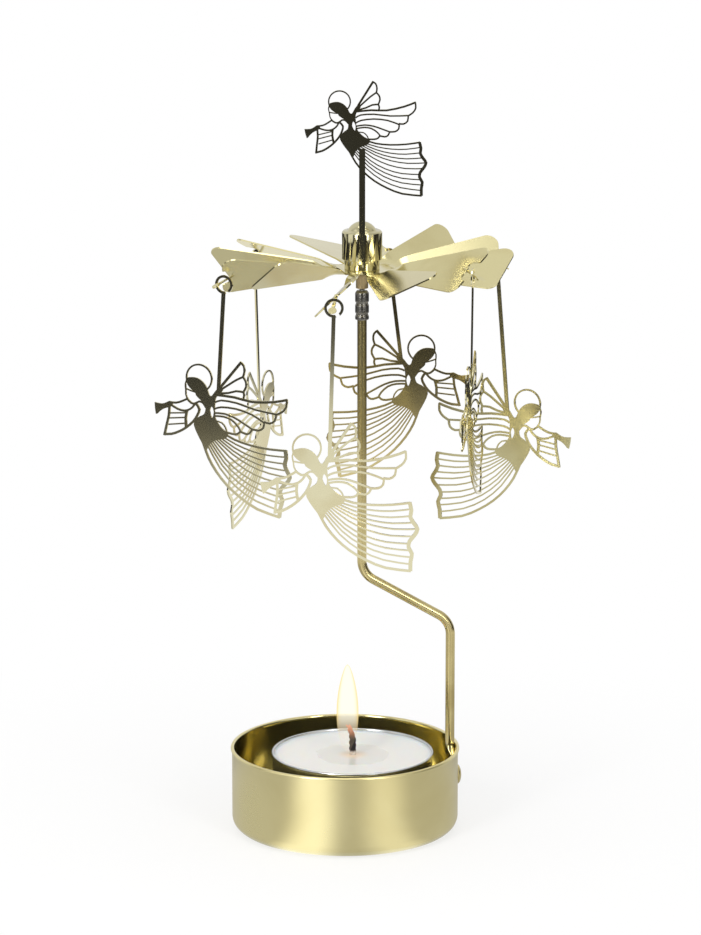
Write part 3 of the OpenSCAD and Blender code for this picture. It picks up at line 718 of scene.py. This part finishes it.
# %% Pressed foot
FOOT_THICK = 1.1
FOOT_WIDE = 4.6
FOOT_RINGS = 26
FOOT_AROUND = 40
ABOVE_FOOT = 0.6
PRESS_LONG = 3.0
SQUARENESS = 0.55
RING_CROWDING = 1.6
foot_low = pole_low.z
stack_top = foot_top + ABOVE_FOOT
stack_low = foot_low + 0.03


def pressed_ring(up):
    """Half thickness and half width of the foot at this height."""
    t = min(max((stack_top - up) / PRESS_LONG, 0), 1)
    press = t * t * (3 - 2 * t)
    half_thick = WIRE_R + (FOOT_THICK / 2 - WIRE_R) * press
    half_wide = WIRE_R + (FOOT_WIDE / 2 - WIRE_R) * press
    left = up - foot_low
    if left < half_wide:
        half_wide = math.sqrt(max(half_wide ** 2 - (half_wide - left) ** 2, 0.01))
    return half_thick, half_wide


def blunted(value, power):
    return math.copysign(abs(value) ** power, value)


foot_points = []
for ring in range(FOOT_RINGS + 1):
    fall = 1 - (1 - ring / FOOT_RINGS) ** RING_CROWDING
    up = stack_top + (stack_low - stack_top) * fall
    half_thick, half_wide = pressed_ring(up)
    power = SQUARENESS if half_wide > WIRE_R + 0.2 else 1.0
    for k in range(FOOT_AROUND):
        angle = FULL_TURN * k / FOOT_AROUND
        across = blunted(math.cos(angle), power) * half_thick
        along = blunted(math.sin(angle), power) * half_wide
        foot_points.append((foot_face - FOOT_GAP - half_thick + across, along, up))
foot_faces = [
    (r * FOOT_AROUND + k, r * FOOT_AROUND + (k + 1) % FOOT_AROUND,
     (r + 1) * FOOT_AROUND + (k + 1) % FOOT_AROUND, (r + 1) * FOOT_AROUND + k)
    for r in range(FOOT_RINGS) for k in range(FOOT_AROUND)
]
foot_faces.append(tuple(range(FOOT_AROUND)))
foot_faces.append(tuple(FOOT_RINGS * FOOT_AROUND + k for k in reversed(range(FOOT_AROUND))))
foot = mesh_from_points("pressed_foot", foot_points, foot_faces)
foot.data.materials.append(wire_brass)
turn_faces_outwards(foot)
smooth_but_sharp_past(foot, 50)

pole = join_meshes("pole", [wire, foot])
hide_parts("pole_wire")
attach(pole, "stand")
print("pole from", round(foot_low, 1), "to", round(pole_high.z, 1), "mm")

# %% [markdown]
# ## Rivet, ferrule, pin and sleeve
# The rivet has a domed head outside the cup. Above, a crimped ferrule holds the pivot pin in the wire's
# end, and the rotor's browned sleeve runs on that pin. All are turned pieces; the rivet lies on its side.

# %% Rivet
rivet_low, rivet_high = node_box("foot_rivet")
rivet_up = (rivet_low.z + rivet_high.z) / 2
HEAD_WIDE = rivet_high.z - rivet_low.z
HEAD_TALL = rivet_high.x - cup_radius
HEAD_SINK = 0.15
SHANK_R = 1.0
UPSET_R = 1.6
inner_end = rivet_low.x - cup_radius
dome = [(HEAD_WIDE / 2 * math.cos(math.radians(a)), HEAD_TALL * math.sin(math.radians(a)))
        for a in range(0, 90, 10)]
rivet_outline = [(0, inner_end), (UPSET_R, inner_end), (1.2, inner_end + 0.5), (SHANK_R, inner_end + 0.6),
                 (SHANK_R, -HEAD_SINK), (HEAD_WIDE / 2 - HEAD_SINK, -HEAD_SINK), *dome, (0, HEAD_TALL)]
rivet = lathe("rivet", rivet_outline, (0, 0), around=64, material=wire_brass, sharp=40)
lay_down = Matrix.Translation(Vector((cup_radius, 0, rivet_up)) * MM) @ Matrix.Rotation(math.pi / 2, 4, "Y")
rivet.data.transform(lay_down)
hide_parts("foot_rivet")
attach(rivet, "stand")
print("rivet head", round(HEAD_WIDE, 1), "mm wide at height", round(rivet_up, 1))

# %% Ferrule, pin and sleeve
PIN_R = 0.6
SLEEVE_CLEAR = 0.08
SLEEVE_WALL = 0.75
LIP_TALL = 0.4
GROOVES_UP = (1.3, 3.9)
GROOVE_DEEP = 0.16
GROOVE_HALF, GROOVE_FLOOR_HALF = 0.42, 0.14
TURNED_EASE = 0.12

ferrule_low, ferrule_high = node_box("pivot_ferrule")
ferrule_r = (ferrule_high.x - ferrule_low.x) / 2
ferrule_outline = [(PIN_R, ferrule_low.z + 0.3), (ferrule_r - 0.1, ferrule_low.z),
                   (ferrule_r, ferrule_low.z + 0.15)]
for middle in (ferrule_low.z + up for up in GROOVES_UP):
    ferrule_outline += [(ferrule_r, middle - GROOVE_HALF), (ferrule_r - GROOVE_DEEP, middle - GROOVE_FLOOR_HALF),
                        (ferrule_r - GROOVE_DEEP, middle + GROOVE_FLOOR_HALF), (ferrule_r, middle + GROOVE_HALF)]
ferrule_outline += [(ferrule_r, ferrule_high.z - 0.55), (ferrule_r - 0.4, ferrule_high.z), (PIN_R, ferrule_high.z)]
ferrule = lathe("ferrule", eased(ferrule_outline, TURNED_EASE), (axis_x, 0), around=96, material=dark_nickel,
                sharp=60)
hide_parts("pivot_ferrule")
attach(ferrule, "stand")

sleeve_low, sleeve_high = node_box("hub_sleeve")
bore_r = PIN_R + SLEEVE_CLEAR
sleeve_r = bore_r + SLEEVE_WALL
lip_r = (sleeve_high.x - sleeve_low.x) / 2
lip_low = sleeve_high.z - LIP_TALL
sleeve_outline = [(bore_r, sleeve_low.z), (sleeve_r, sleeve_low.z), (sleeve_r, lip_low), (lip_r, lip_low),
                  (lip_r, sleeve_high.z), (bore_r, sleeve_high.z)]
sleeve = lathe("sleeve", eased(sleeve_outline, TURNED_EASE), (axis_x, 0), around=96, material=browned_brass,
               sharp=60)
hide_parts("hub_sleeve")
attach(sleeve, "rotor")
print("ferrule from", round(ferrule_low.z, 1), "to", round(ferrule_high.z, 1), "mm")

# %% [markdown]
# ## The hub cap
# This polished cap hides the bearing and clamps the sheet to the sleeve. It has a collar, a body with a
# small bevel, and a dome. Being round and bright, it draws the whole room as upright stripes, so its
# outline must be smooth and its corners only slightly eased.

# %% Hub cap
COLLAR_TALL = 2.3
BODY_TALL = 6.7
DOME_TALL = 2.1
DOME_R = 3.35
COLLAR_R = 4.1
BODY_BEVEL = 0.35
CAP_EASE = 0.14


def finish_node(node, material):
    """Gives a CAD node that stays as it is its material."""
    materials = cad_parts[node].data.materials
    materials.clear()
    materials.append(material)


cap_r = (hub_high.x - hub_low.x) / 2
body_low = hub_low.z + COLLAR_TALL
body_high = body_low + BODY_TALL
dome_radius = (DOME_R ** 2 + DOME_TALL ** 2) / (2 * DOME_TALL)
dome_from = math.degrees(math.acos(DOME_R / dome_radius))
dome_line = arc((0, body_high + DOME_TALL - dome_radius), dome_radius, dome_from, 90, 14)
cap_outline = [(0, hub_low.z), (COLLAR_R, hub_low.z), (COLLAR_R, body_low), (cap_r, body_low),
               (cap_r, body_high - BODY_BEVEL), (cap_r - BODY_BEVEL, body_high), (DOME_R, body_high)]
cap_outline = eased(cap_outline, CAP_EASE) + dome_line[1:-1] + [(0, body_high + DOME_TALL)]
cap = lathe("hub_cap_polished", cap_outline, (axis_x, 0), around=192, material=mirror_brass, sharp=70)
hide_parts("hub_cap")
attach(cap, "rotor")
finish_node("bearing_cup", dark_nickel)
finish_node("pivot_pin", dark_nickel)
print("cap", round(2 * cap_r, 1), "mm across, top at", round(body_high + DOME_TALL, 1), "mm")

# %% [markdown]
# ## The rotor's blades
# Twelve blades are cut in one disc of sheet and twisted by hand at their narrow roots, so every blade has
# its own pitch and lift. Every second one has two slots in its outer edge, and the tongue between them is
# bent down to hold a pendant. A flat blade is cut first, with or without slots. Then Geometry Nodes bend
# it: each point turns about the blade's middle line by an angle that grows along the root, and the blade
# turns to its place. The same tree makes all twelve. They are a hair thinner than the disc that they
# overlap, so that no two faces lie in one plane.

# %% Flat blade
HUB_R = 6.6
HIGH_R = 35.0
LOW_R = 32.6
ROOT_HALF = 1.45
NECK_HALF = 3.1
TIP_HALF = 7.0
CORNER_R = 2.4
TWIST = 6.0
SHEET = 0.4
HOOK_R = 33.5
TONGUE_HALF = 0.36
SLOT_DEEP = 2.0
SLOT_HIGH = 1.9
SLOT_LOW = 3.2
UNDER_HUB = 0.6
TWIST_ROWS = 22
ACROSS = 4
slot_x = HOOK_R - HUB_R - SLOT_DEEP
high_corner = (HIGH_R - HUB_R - CORNER_R, TIP_HALF - CORNER_R)
low_corner = (LOW_R - HUB_R - CORNER_R, CORNER_R - TIP_HALF)


def blade_half(x):
    root_share = min(max(x, 0) / TWIST, 1)
    tip_share = max(x - TWIST, 0) / (HIGH_R - HUB_R - TWIST)
    return ROOT_HALF + (NECK_HALF - ROOT_HALF) * root_share + (TIP_HALF - NECK_HALF) * tip_share


def tip_edge_at(y):
    """Where the slanted outer edge of the blade lies at this distance from its middle line."""
    low = Vector(low_corner)
    along = (Vector(high_corner) - low).normalized()
    start = low + Vector((along.y, -along.x)) * CORNER_R
    return start.x + along.x * (y - start.y) / along.y


def slot_pair():
    """The outline between the two slots, from the lower slot's outer side to the upper one's."""
    low_r, high_r = SLOT_LOW / 2, SLOT_HIGH / 2
    low_y, high_y = -TONGUE_HALF - low_r, TONGUE_HALF + high_r
    return ([(tip_edge_at(low_y - low_r), low_y - low_r)]
            + arc((slot_x + low_r, low_y), low_r, 270, 132, 8) + arc((slot_x + high_r, high_y), high_r, 228, 90, 8)
            + [(tip_edge_at(high_y + high_r), high_y + high_r)])


def flat_blade(carries_pendant):
    points, faces = [], []
    for row in range(TWIST_ROWS + 1):
        x = -UNDER_HUB + (TWIST + UNDER_HUB) * row / TWIST_ROWS
        for k in range(ACROSS + 1):
            points.append((x, blade_half(x) * (2 * k / ACROSS - 1), 0))
    for row in range(TWIST_ROWS):
        for k in range(ACROSS):
            a = row * (ACROSS + 1) + k
            faces.append((a, a + ACROSS + 1, a + ACROSS + 2, a + 1))
    outer = arc(low_corner, CORNER_R, -100, -10, 10)
    if carries_pendant:
        outer += slot_pair()
    outer += arc(high_corner, CORNER_R, -10, 100, 10)
    first = len(points)
    points += [(x, y, 0) for x, y in outer]
    last_row = TWIST_ROWS * (ACROSS + 1)
    faces.append([*range(first, len(points)), *range(last_row + ACROSS, last_row - 1, -1)])
    return mesh_from_points("flat_blade", points, faces)


print("blade is", 2 * TIP_HALF, "mm wide at its tip")

# %% Twisted blade tree
twisted_blade, given, result = open_shape_tree(
    "twisted_blade",
    [("Pitch", "Float", 0.6), ("Lift", "Float", 0.0), ("Turn", "Float", 0.0),
     ("Twist Length", "Float", TWIST * MM), ("Hub Radius", "Float", HUB_R * MM), ("Material", "Material", None)],
)
x, y, _ = split(signal(twisted_blade, "GeometryNodeInputPosition"))
pitch = between(x, 0.0, given["Twist Length"] - MM, 0.0, given["Pitch"])
lift = between(x, 0.0, given["Twist Length"] * 0.5, 0.0, given["Lift"])
rise = y * sine(pitch)
out = x * cosine(lift) - rise * sine(lift) + given["Hub Radius"]
up = x * sine(lift) + rise * cosine(lift)
bent_place = signal(twisted_blade, "ShaderNodeCombineXYZ", X=out, Y=y * cosine(pitch), Z=up)
bent = signal(twisted_blade, "GeometryNodeSetPosition", Geometry=given["Geometry"], Position=bent_place)
angles = signal(twisted_blade, "ShaderNodeCombineXYZ", Z=given["Turn"])
turned = signal(twisted_blade, "GeometryNodeTransform", Geometry=bent, Rotation=angles)
close_shape_tree(turned, given["Material"], result)
print("twisted_blade inputs:", list(given))

# %% Tongues
LOBE_R = 0.95
LOBE_OUT = 2.2
TONGUE_ROOT = 0.9
TONGUE_DROP = math.radians(29)
tongue_long = SLOT_DEEP / math.cos(TONGUE_DROP) + LOBE_OUT


def tongue(lift, turn):
    """A narrow strip with a round lobe at its end, bent down out of the blade with this lift and turn."""
    half_neck = math.degrees(math.asin(TONGUE_HALF / LOBE_R))
    outline = [(-TONGUE_ROOT, -TONGUE_HALF), *arc((tongue_long, 0), LOBE_R, half_neck - 180, 180 - half_neck, 16),
               (-TONGUE_ROOT, TONGUE_HALF)]
    slope = lift - TONGUE_DROP
    points = []
    for along, y in outline:
        x = HUB_R + slot_x * math.cos(lift) + along * math.cos(slope)
        z = slot_x * math.sin(lift) + along * math.sin(slope)
        points.append(Matrix.Rotation(turn, 3, "Z") @ Vector((x, y, z)))
    strip = mesh_from_points("tongue", points, [list(range(len(points)))])
    strip.data.materials.append(bright_brass)
    return strip


print("tongue is", round(tongue_long, 2), "mm long")

# %% Rotor
BLADE_PITCH = [42, 42, 38, 12, 30, 42, 42, 33, 44, 24, 37, 30]
BLADE_LIFT = [1, 2, -2.5, 2.5, 1, 0.5, 1, 7, -1.5, 4, 8.5, 3]
FIRST_BLADE = 13
BLADE_STEP = 360 / len(BLADE_PITCH)
SEAM = 0.04
hub_level = hub_low.z - SHEET / 2


def ease_edges(obj, width, segments, past):
    """Bevels the edges that are sharper than an angle in degrees."""
    ease = obj.modifiers.new("eased_edges", "BEVEL")
    ease.width = width * MM
    ease.segments = segments
    ease.limit_method = "ANGLE"
    ease.angle_limit = math.radians(past)
    ease.harden_normals = True


blades = []
for number, (pitch, lift) in enumerate(zip(BLADE_PITCH, BLADE_LIFT)):
    turn = math.radians(FIRST_BLADE + BLADE_STEP * number)
    carries_pendant = number % 2 == 0
    blades.append(grow(flat_blade(carries_pendant), twisted_blade, {
        "Pitch": math.radians(pitch), "Lift": math.radians(lift), "Turn": turn,
        "Material": bright_brass}, "blade"))
    if carries_pendant:
        blades.append(tongue(math.radians(lift), turn))
sheet = join_meshes("blades", blades)
sheet.data.transform(Matrix.Translation(Vector((axis_x, 0, hub_level)) * MM))
thicken = sheet.modifiers.new("sheet", "SOLIDIFY")
thicken.thickness = (SHEET - SEAM) * MM
thicken.offset = 0
solid_sheet = add_object("solid_sheet", finished_mesh(sheet))
under, over = hub_level - SHEET / 2, hub_level + SHEET / 2
disc_outline = [(sleeve_r, under), (HUB_R, under), (HUB_R, over), (sleeve_r, over)]
disc = lathe("hub_disc", disc_outline, (axis_x, 0), around=128, material=bright_brass)
rotor = join_meshes("rotor_sheet", [solid_sheet, disc])
smooth_but_sharp_past(rotor, 30)
ease_edges(rotor, 0.07, 2, 55)
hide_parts("rotor")
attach(rotor, "rotor")
print("rotor sheet:", len(rotor.data.polygons), "faces")

# %% [markdown]
# ## The pierced angels
# Each figure is etched out of thin sheet: halo, feathers, sleeve and skirt ribs are narrow bands with
# holes between them. The CAD model holds that outline exactly, so a copy of its mesh is cleaned here,
# its flat triangles are dissolved into large faces, and a tiny bevel eases every edge. An etched edge is
# never sharp, and the bevel gives each rib the thin line of light that the photograph shows. No two
# pendants hang at quite the same slant, so some mirror another part of the room, and one is given a
# darker copy of the same brass.

# %% Figures


def eased_sheet_copy(node, name, material):
    work = bmesh.new()
    work.from_mesh(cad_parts[node].data)
    bmesh.ops.remove_doubles(work, verts=work.verts, dist=0.0005 * MM)
    bmesh.ops.dissolve_limit(work, angle_limit=math.radians(1), verts=work.verts, edges=work.edges)
    mesh = bpy.data.meshes.new(name)
    work.to_mesh(mesh)
    work.free()
    mesh.materials.append(material)
    obj = add_object(name, mesh)
    smooth_but_sharp_past(obj, 30)
    ease_edges(obj, 0.05, 1, 50)
    return obj


figures = {"top_angel": "rotor"}
figures.update({f"pendant_{n}": f"pendant_{n}_body" for n in range(1, 7)})
own_finish = {"pendant_1": darker_figure_brass, "pendant_2": upturned_brass, "pendant_3": leaning_brass,
              "pendant_5": leaning_brass}
for node, body in figures.items():
    figure = eased_sheet_copy(node, node + "_sheet", own_finish.get(node, figure_brass))
    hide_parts(node)
    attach(figure, body)
print("figures:", len(figures))

# %% [markdown]
# ## The tealight's foil cup
# A tealight's cup is pressed from foil so thin that its wall gathers in fine upright flutes, and its rim
# is rolled. The cup itself is turned like the other round pieces. A Geometry Nodes tree then presses the
# flutes: each point of the wall moves inwards by a cosine of its bearing, and the tree has inputs for
# the number of flutes and their depth.

# %% Foil cup
tealight_low, tealight_high = node_box("tealight_cup")
wax_low, wax_high = node_box("tealight_wax")
tealight_x = node_middle("tealight_wax").x
FOIL = 0.3
RIM_ROLL = 0.3
FOIL_CORNER = 1.0
FOIL_ROWS = 24
FLUTES = 72
FLUTE_DEPTH = 0.12
FLUTE_FADE = 2.0
foil_r = (tealight_high.x - tealight_low.x) / 2 - RIM_ROLL
wall_low, wall_high = tealight_low.z + 1.6, tealight_high.z - 1.2
wall_steps = [wall_low + (wall_high - wall_low) * k / FOIL_ROWS for k in range(FOIL_ROWS + 1)]
foil_outline = [(0, tealight_low.z), (foil_r - 1.2, tealight_low.z)]
foil_outline += arc((foil_r - FOIL_CORNER, tealight_low.z + FOIL_CORNER), FOIL_CORNER, -80, 0, 5)
foil_outline += [(foil_r, up) for up in wall_steps]
foil_outline += arc((foil_r, tealight_high.z - RIM_ROLL), RIM_ROLL, -60, 180, 10)
foil_outline += [(foil_r - FOIL, up) for up in reversed(wall_steps)]
foil_outline += [(foil_r - FOIL, tealight_low.z + FOIL), (0, tealight_low.z + FOIL)]

fluted_wall, given, result = open_shape_tree(
    "fluted_wall",
    [("Flutes", "Float", FLUTES), ("Depth", "Float", FLUTE_DEPTH * MM), ("Low", "Float", 0.0),
     ("High", "Float", 0.0), ("Middle X", "Float", 0.0), ("Material", "Material", None)],
)
x, y, z = split(signal(fluted_wall, "GeometryNodeInputPosition"))
round_angle = maths("ARCTAN2", y, x - given["Middle X"])
press = (cosine(round_angle * given["Flutes"]) * 0.5 - 0.5) * given["Depth"]
start = between(z, given["Low"], given["Low"] + FLUTE_FADE * MM)
stop = between(z, given["High"] - FLUTE_FADE * MM, given["High"], 1.0, 0.0)
inwards = signal(fluted_wall, "ShaderNodeCombineXYZ", X=cosine(round_angle), Y=sine(round_angle))
shift = signal(fluted_wall, "ShaderNodeVectorMath", 0, {"operation": "SCALE"}, Vector=inwards,
               Scale=press * (start * stop))
pressed = signal(fluted_wall, "GeometryNodeSetPosition", Geometry=given["Geometry"], Offset=shift)
close_shape_tree(pressed, given["Material"], result)

plain_foil = lathe("plain_foil", foil_outline, (tealight_x, 0), around=432, sharp=60)
foil = grow(plain_foil, fluted_wall, {
    "Low": tealight_low.z * MM + MM, "High": tealight_high.z * MM - MM, "Middle X": tealight_x * MM,
    "Material": foil_aluminium}, "foil_cup")
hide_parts("tealight_cup")
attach(foil, "tealight")
print("foil cup:", round(2 * foil_r, 1), "mm across,", len(foil.data.polygons), "faces")

# %% [markdown]
# ## The wax
# Paraffin lets light in and scatters it, so it looks soft. Near the flame the wax carries a painted glow:
# a warm orange painted into its colour round the wick. The burning pool is glossy and a little darker
# than the dull wax at the edge, and the surface climbs slightly where it wets the wall. The material reads
# the distance from the wick to know where the pool ends and where the painted glow fades.

# %% Wax
POOL_R = 9.0
POOL_DEEP = 0.14
WAX_LIFT = 0.02
wax_r = foil_r - FOIL + 0.02
wax_top = wax_high.z
wax_outline = [(0, wax_low.z + WAX_LIFT), (wax_r - 0.3, wax_low.z + WAX_LIFT), (wax_r, wax_low.z + 0.4)]
wax_outline += [(radius, wax_top + rise) for radius, rise in (
    (wax_r, 0.3), (wax_r - 0.35, 0.12), (wax_r - 1.0, 0.02), (wax_r - 2.5, 0.0), (POOL_R + 1.2, 0.0),
    (POOL_R, -0.05), (POOL_R - 1.5, -0.12), (POOL_R / 2, -POOL_DEEP), (1.3, 0.01 - POOL_DEEP), (0.8, 0.0),
    (0, WAX_LIFT))]

paraffin, tree = open_material("paraffin")
spot = object_place(tree)
x, y, _ = split(spot)
from_wick = flat_distance(x - tealight_x * MM, y)
wobble = noise(spot, 220.0) * (2.2 * MM)
solid = between(from_wick + wobble, (POOL_R - 0.5) * MM, (POOL_R + 1.6) * MM)
# Painted light: the flame's warm glow, painted into the wax's colour near the wick.
painted_flame_glow = between(from_wick, 0.6 * MM, 4.5 * MM, 1.0, 0.0)
body_colour = mix_colours(solid, colour(0.80, 0.79, 0.75), colour(0.86, 0.855, 0.83))
body_colour = mix_colours(painted_flame_glow * 0.55, body_colour, colour(0.93, 0.62, 0.30))
skin = signal(tree, "ShaderNodeBump", Strength=0.25, Distance=0.05 * MM, Height=noise(spot, 900.0, 3.0) * solid)
principled(tree, Base_Color=body_colour, Roughness=solid * 0.32 + 0.08, Normal=skin, IOR=1.44,
           Subsurface_Weight=0.6, Subsurface_Radius=(1.0, 0.7, 0.45), Subsurface_Scale=2.5 * MM)
wax = lathe("wax", wax_outline, (tealight_x, 0), around=192, material=paraffin, sharp=60)
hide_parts("tealight_wax")
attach(wax, "tealight")
finish_node("wick_clip", tin_plate)
print("wax surface at", round(wax_top, 2), "mm")

# %% [markdown]
# ## The wick
# A candle wick is a braid that curls over as it burns. Its foot is still pale with wax, the part above is
# charred black, and its tip glows where it meets air. The braid is three strands that wind round a bent
# line, which a short loop can place, and Geometry Nodes draw each strand as a tapering tube.

# %% Wick
wick_low, wick_high = node_box("wick")
WICK_R = 0.85
STRANDS = 3
STRAND_R = 0.45
TURNS = 5.5
WICK_STEPS = 90
EMBER_LONG = 4.0
PALE_TO, BLACK_FROM = 0.4, 1.2
line_low, line_high = wick_low.z + 0.3, wick_high.z - STRAND_R
wick_bend = wax_top + (wick_high.z - wax_top) * 0.45
tip_x = wick_low.x + 0.5


def wick_line(t):
    """Middle of the wick at t from 0 at the clip to 1 at the tip."""
    up = line_low + (line_high - line_low) * t
    lean = max(up - wick_bend, 0) / (line_high - wick_bend)
    return Vector((tealight_x + (tip_x - tealight_x) * lean ** 1.6, 0, up))


strand_tube, given, result = open_shape_tree(
    "strand_tube", [("Radius", "Float", STRAND_R * MM), ("Material", "Material", None)])
line = signal(strand_tube, "GeometryNodeMeshToCurve", Mesh=given["Geometry"])
thin = between(signal(strand_tube, "GeometryNodeSplineParameter", "Factor"), 0.8, 1.0, 1.0, 0.45)
shaped = signal(strand_tube, "GeometryNodeSetCurveRadius", Curve=line, Radius=thin)
section = signal(strand_tube, "GeometryNodeCurvePrimitiveCircle", Resolution=12, Radius=given["Radius"])
tube = signal(strand_tube, "GeometryNodeCurveToMesh", Curve=shaped, Profile_Curve=section, Scale=thin,
              Fill_Caps=True)
close_shape_tree(tube, given["Material"], result)

char, tree = open_material("charred_wick")
spot = object_place(tree)
up = split(spot)[2]
ember = between(up, (wick_high.z - EMBER_LONG) * MM, wick_high.z * MM)
charred = between(up, (wax_top + PALE_TO) * MM, (wax_top + BLACK_FROM) * MM)
speckle = noise(spot, 1500.0, 3.0)
soot = mix_colours(speckle, colour(0.004, 0.003, 0.003), colour(0.018, 0.012, 0.009))
soot = mix_colours(charred, colour(0.62, 0.54, 0.46), soot)
crumbs = signal(tree, "ShaderNodeBump", Strength=0.8, Distance=0.08 * MM, Height=speckle)
principled(tree, Base_Color=mix_colours(ember, soot, colour(0.22, 0.05, 0.015)), Roughness=0.9, Normal=crumbs,
           Emission_Color=mix_colours(ember, colour(0, 0, 0), colour(0.80, 0.15, 0.02)), Emission_Strength=0.6)

strands = []
for number in range(STRANDS):
    points = []
    for step in range(WICK_STEPS + 1):
        t = step / WICK_STEPS
        angle = FULL_TURN * (TURNS * t + number / STRANDS)
        aside = Vector((math.cos(angle), math.sin(angle), 0)) * (WICK_R - STRAND_R)
        points.append((wick_line(t) + aside) * MM)
    strand = bpy.data.meshes.new("strand")
    strand.from_pydata(points, [(k, k + 1) for k in range(WICK_STEPS)], [])
    strands.append(grow(add_object("strand", strand), strand_tube, {"Material": char}, "strand"))
wick = join_meshes("braided_wick", strands)
turn_faces_outwards(wick)
smooth_but_sharp_past(wick, 50)
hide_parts("wick")
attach(wick, "tealight")
print("wick from", round(wick_low.z, 1), "to", round(wick_high.z, 1), "mm")

# %% [markdown]
# ## The flame
# A candle flame is a slim drop of glowing gas: white-yellow in its upper part, clear and warm at its
# root. It has no solid in the CAD model, because it isn't a part, but it rides with the tealight. It is a
# turned drop whose colour and opacity change with height, and its outline fades where the drop is seen
# edge-on, which Layer Weight gives.

# %% Flame
FLAME_TALL = 21.5
FLAME_R = 2.6
FLAME_STEPS = 40
FLAME_ASIDE = 1.2
BELLY_LOW, BELLY_FULL = 0.85, 0.62
CLEAR_TO, BRIGHT_FROM = 3.0, 11.0
flame_low = wax_top + 0.6
flame_high = flame_low + FLAME_TALL
flame_outline = [(0, flame_low)]
for step in range(1, FLAME_STEPS):
    t = step / FLAME_STEPS
    radius = FLAME_R * math.sin(math.pi * t ** BELLY_LOW) ** BELLY_FULL
    flame_outline.append((radius, flame_low + FLAME_TALL * t))
flame_outline.append((0, flame_high))

fire, tree = open_material("candle_flame")
up = split(object_place(tree))[2]
root = between(up, (flame_low + CLEAR_TO) * MM, (flame_low + BRIGHT_FROM) * MM)
facing = signal(tree, "ShaderNodeLayerWeight", "Facing", Blend=0.5)
fire_colour = mix_colours(between(facing, 0.15, 0.8), colour(1.0, 0.97, 0.80), colour(1.0, 0.74, 0.24))
fire_colour = mix_colours(root, colour(1.0, 0.80, 0.52), fire_colour)
opacity = (root * 0.52 + 0.06) * between(facing, 0.80, 1.0, 1.0, 0.1)
principled(tree, Base_Color=colour(0.0, 0.0, 0.0), Roughness=1.0, Specular_IOR_Level=0.0, Alpha=opacity,
           Emission_Color=fire_colour, Emission_Strength=1.1)
flame = lathe("flame", flame_outline, (tealight_x - FLAME_ASIDE, 0), around=64, material=fire, sharp=180)
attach(flame, "tealight")
print("flame tip at", round(flame_high, 1), "mm")
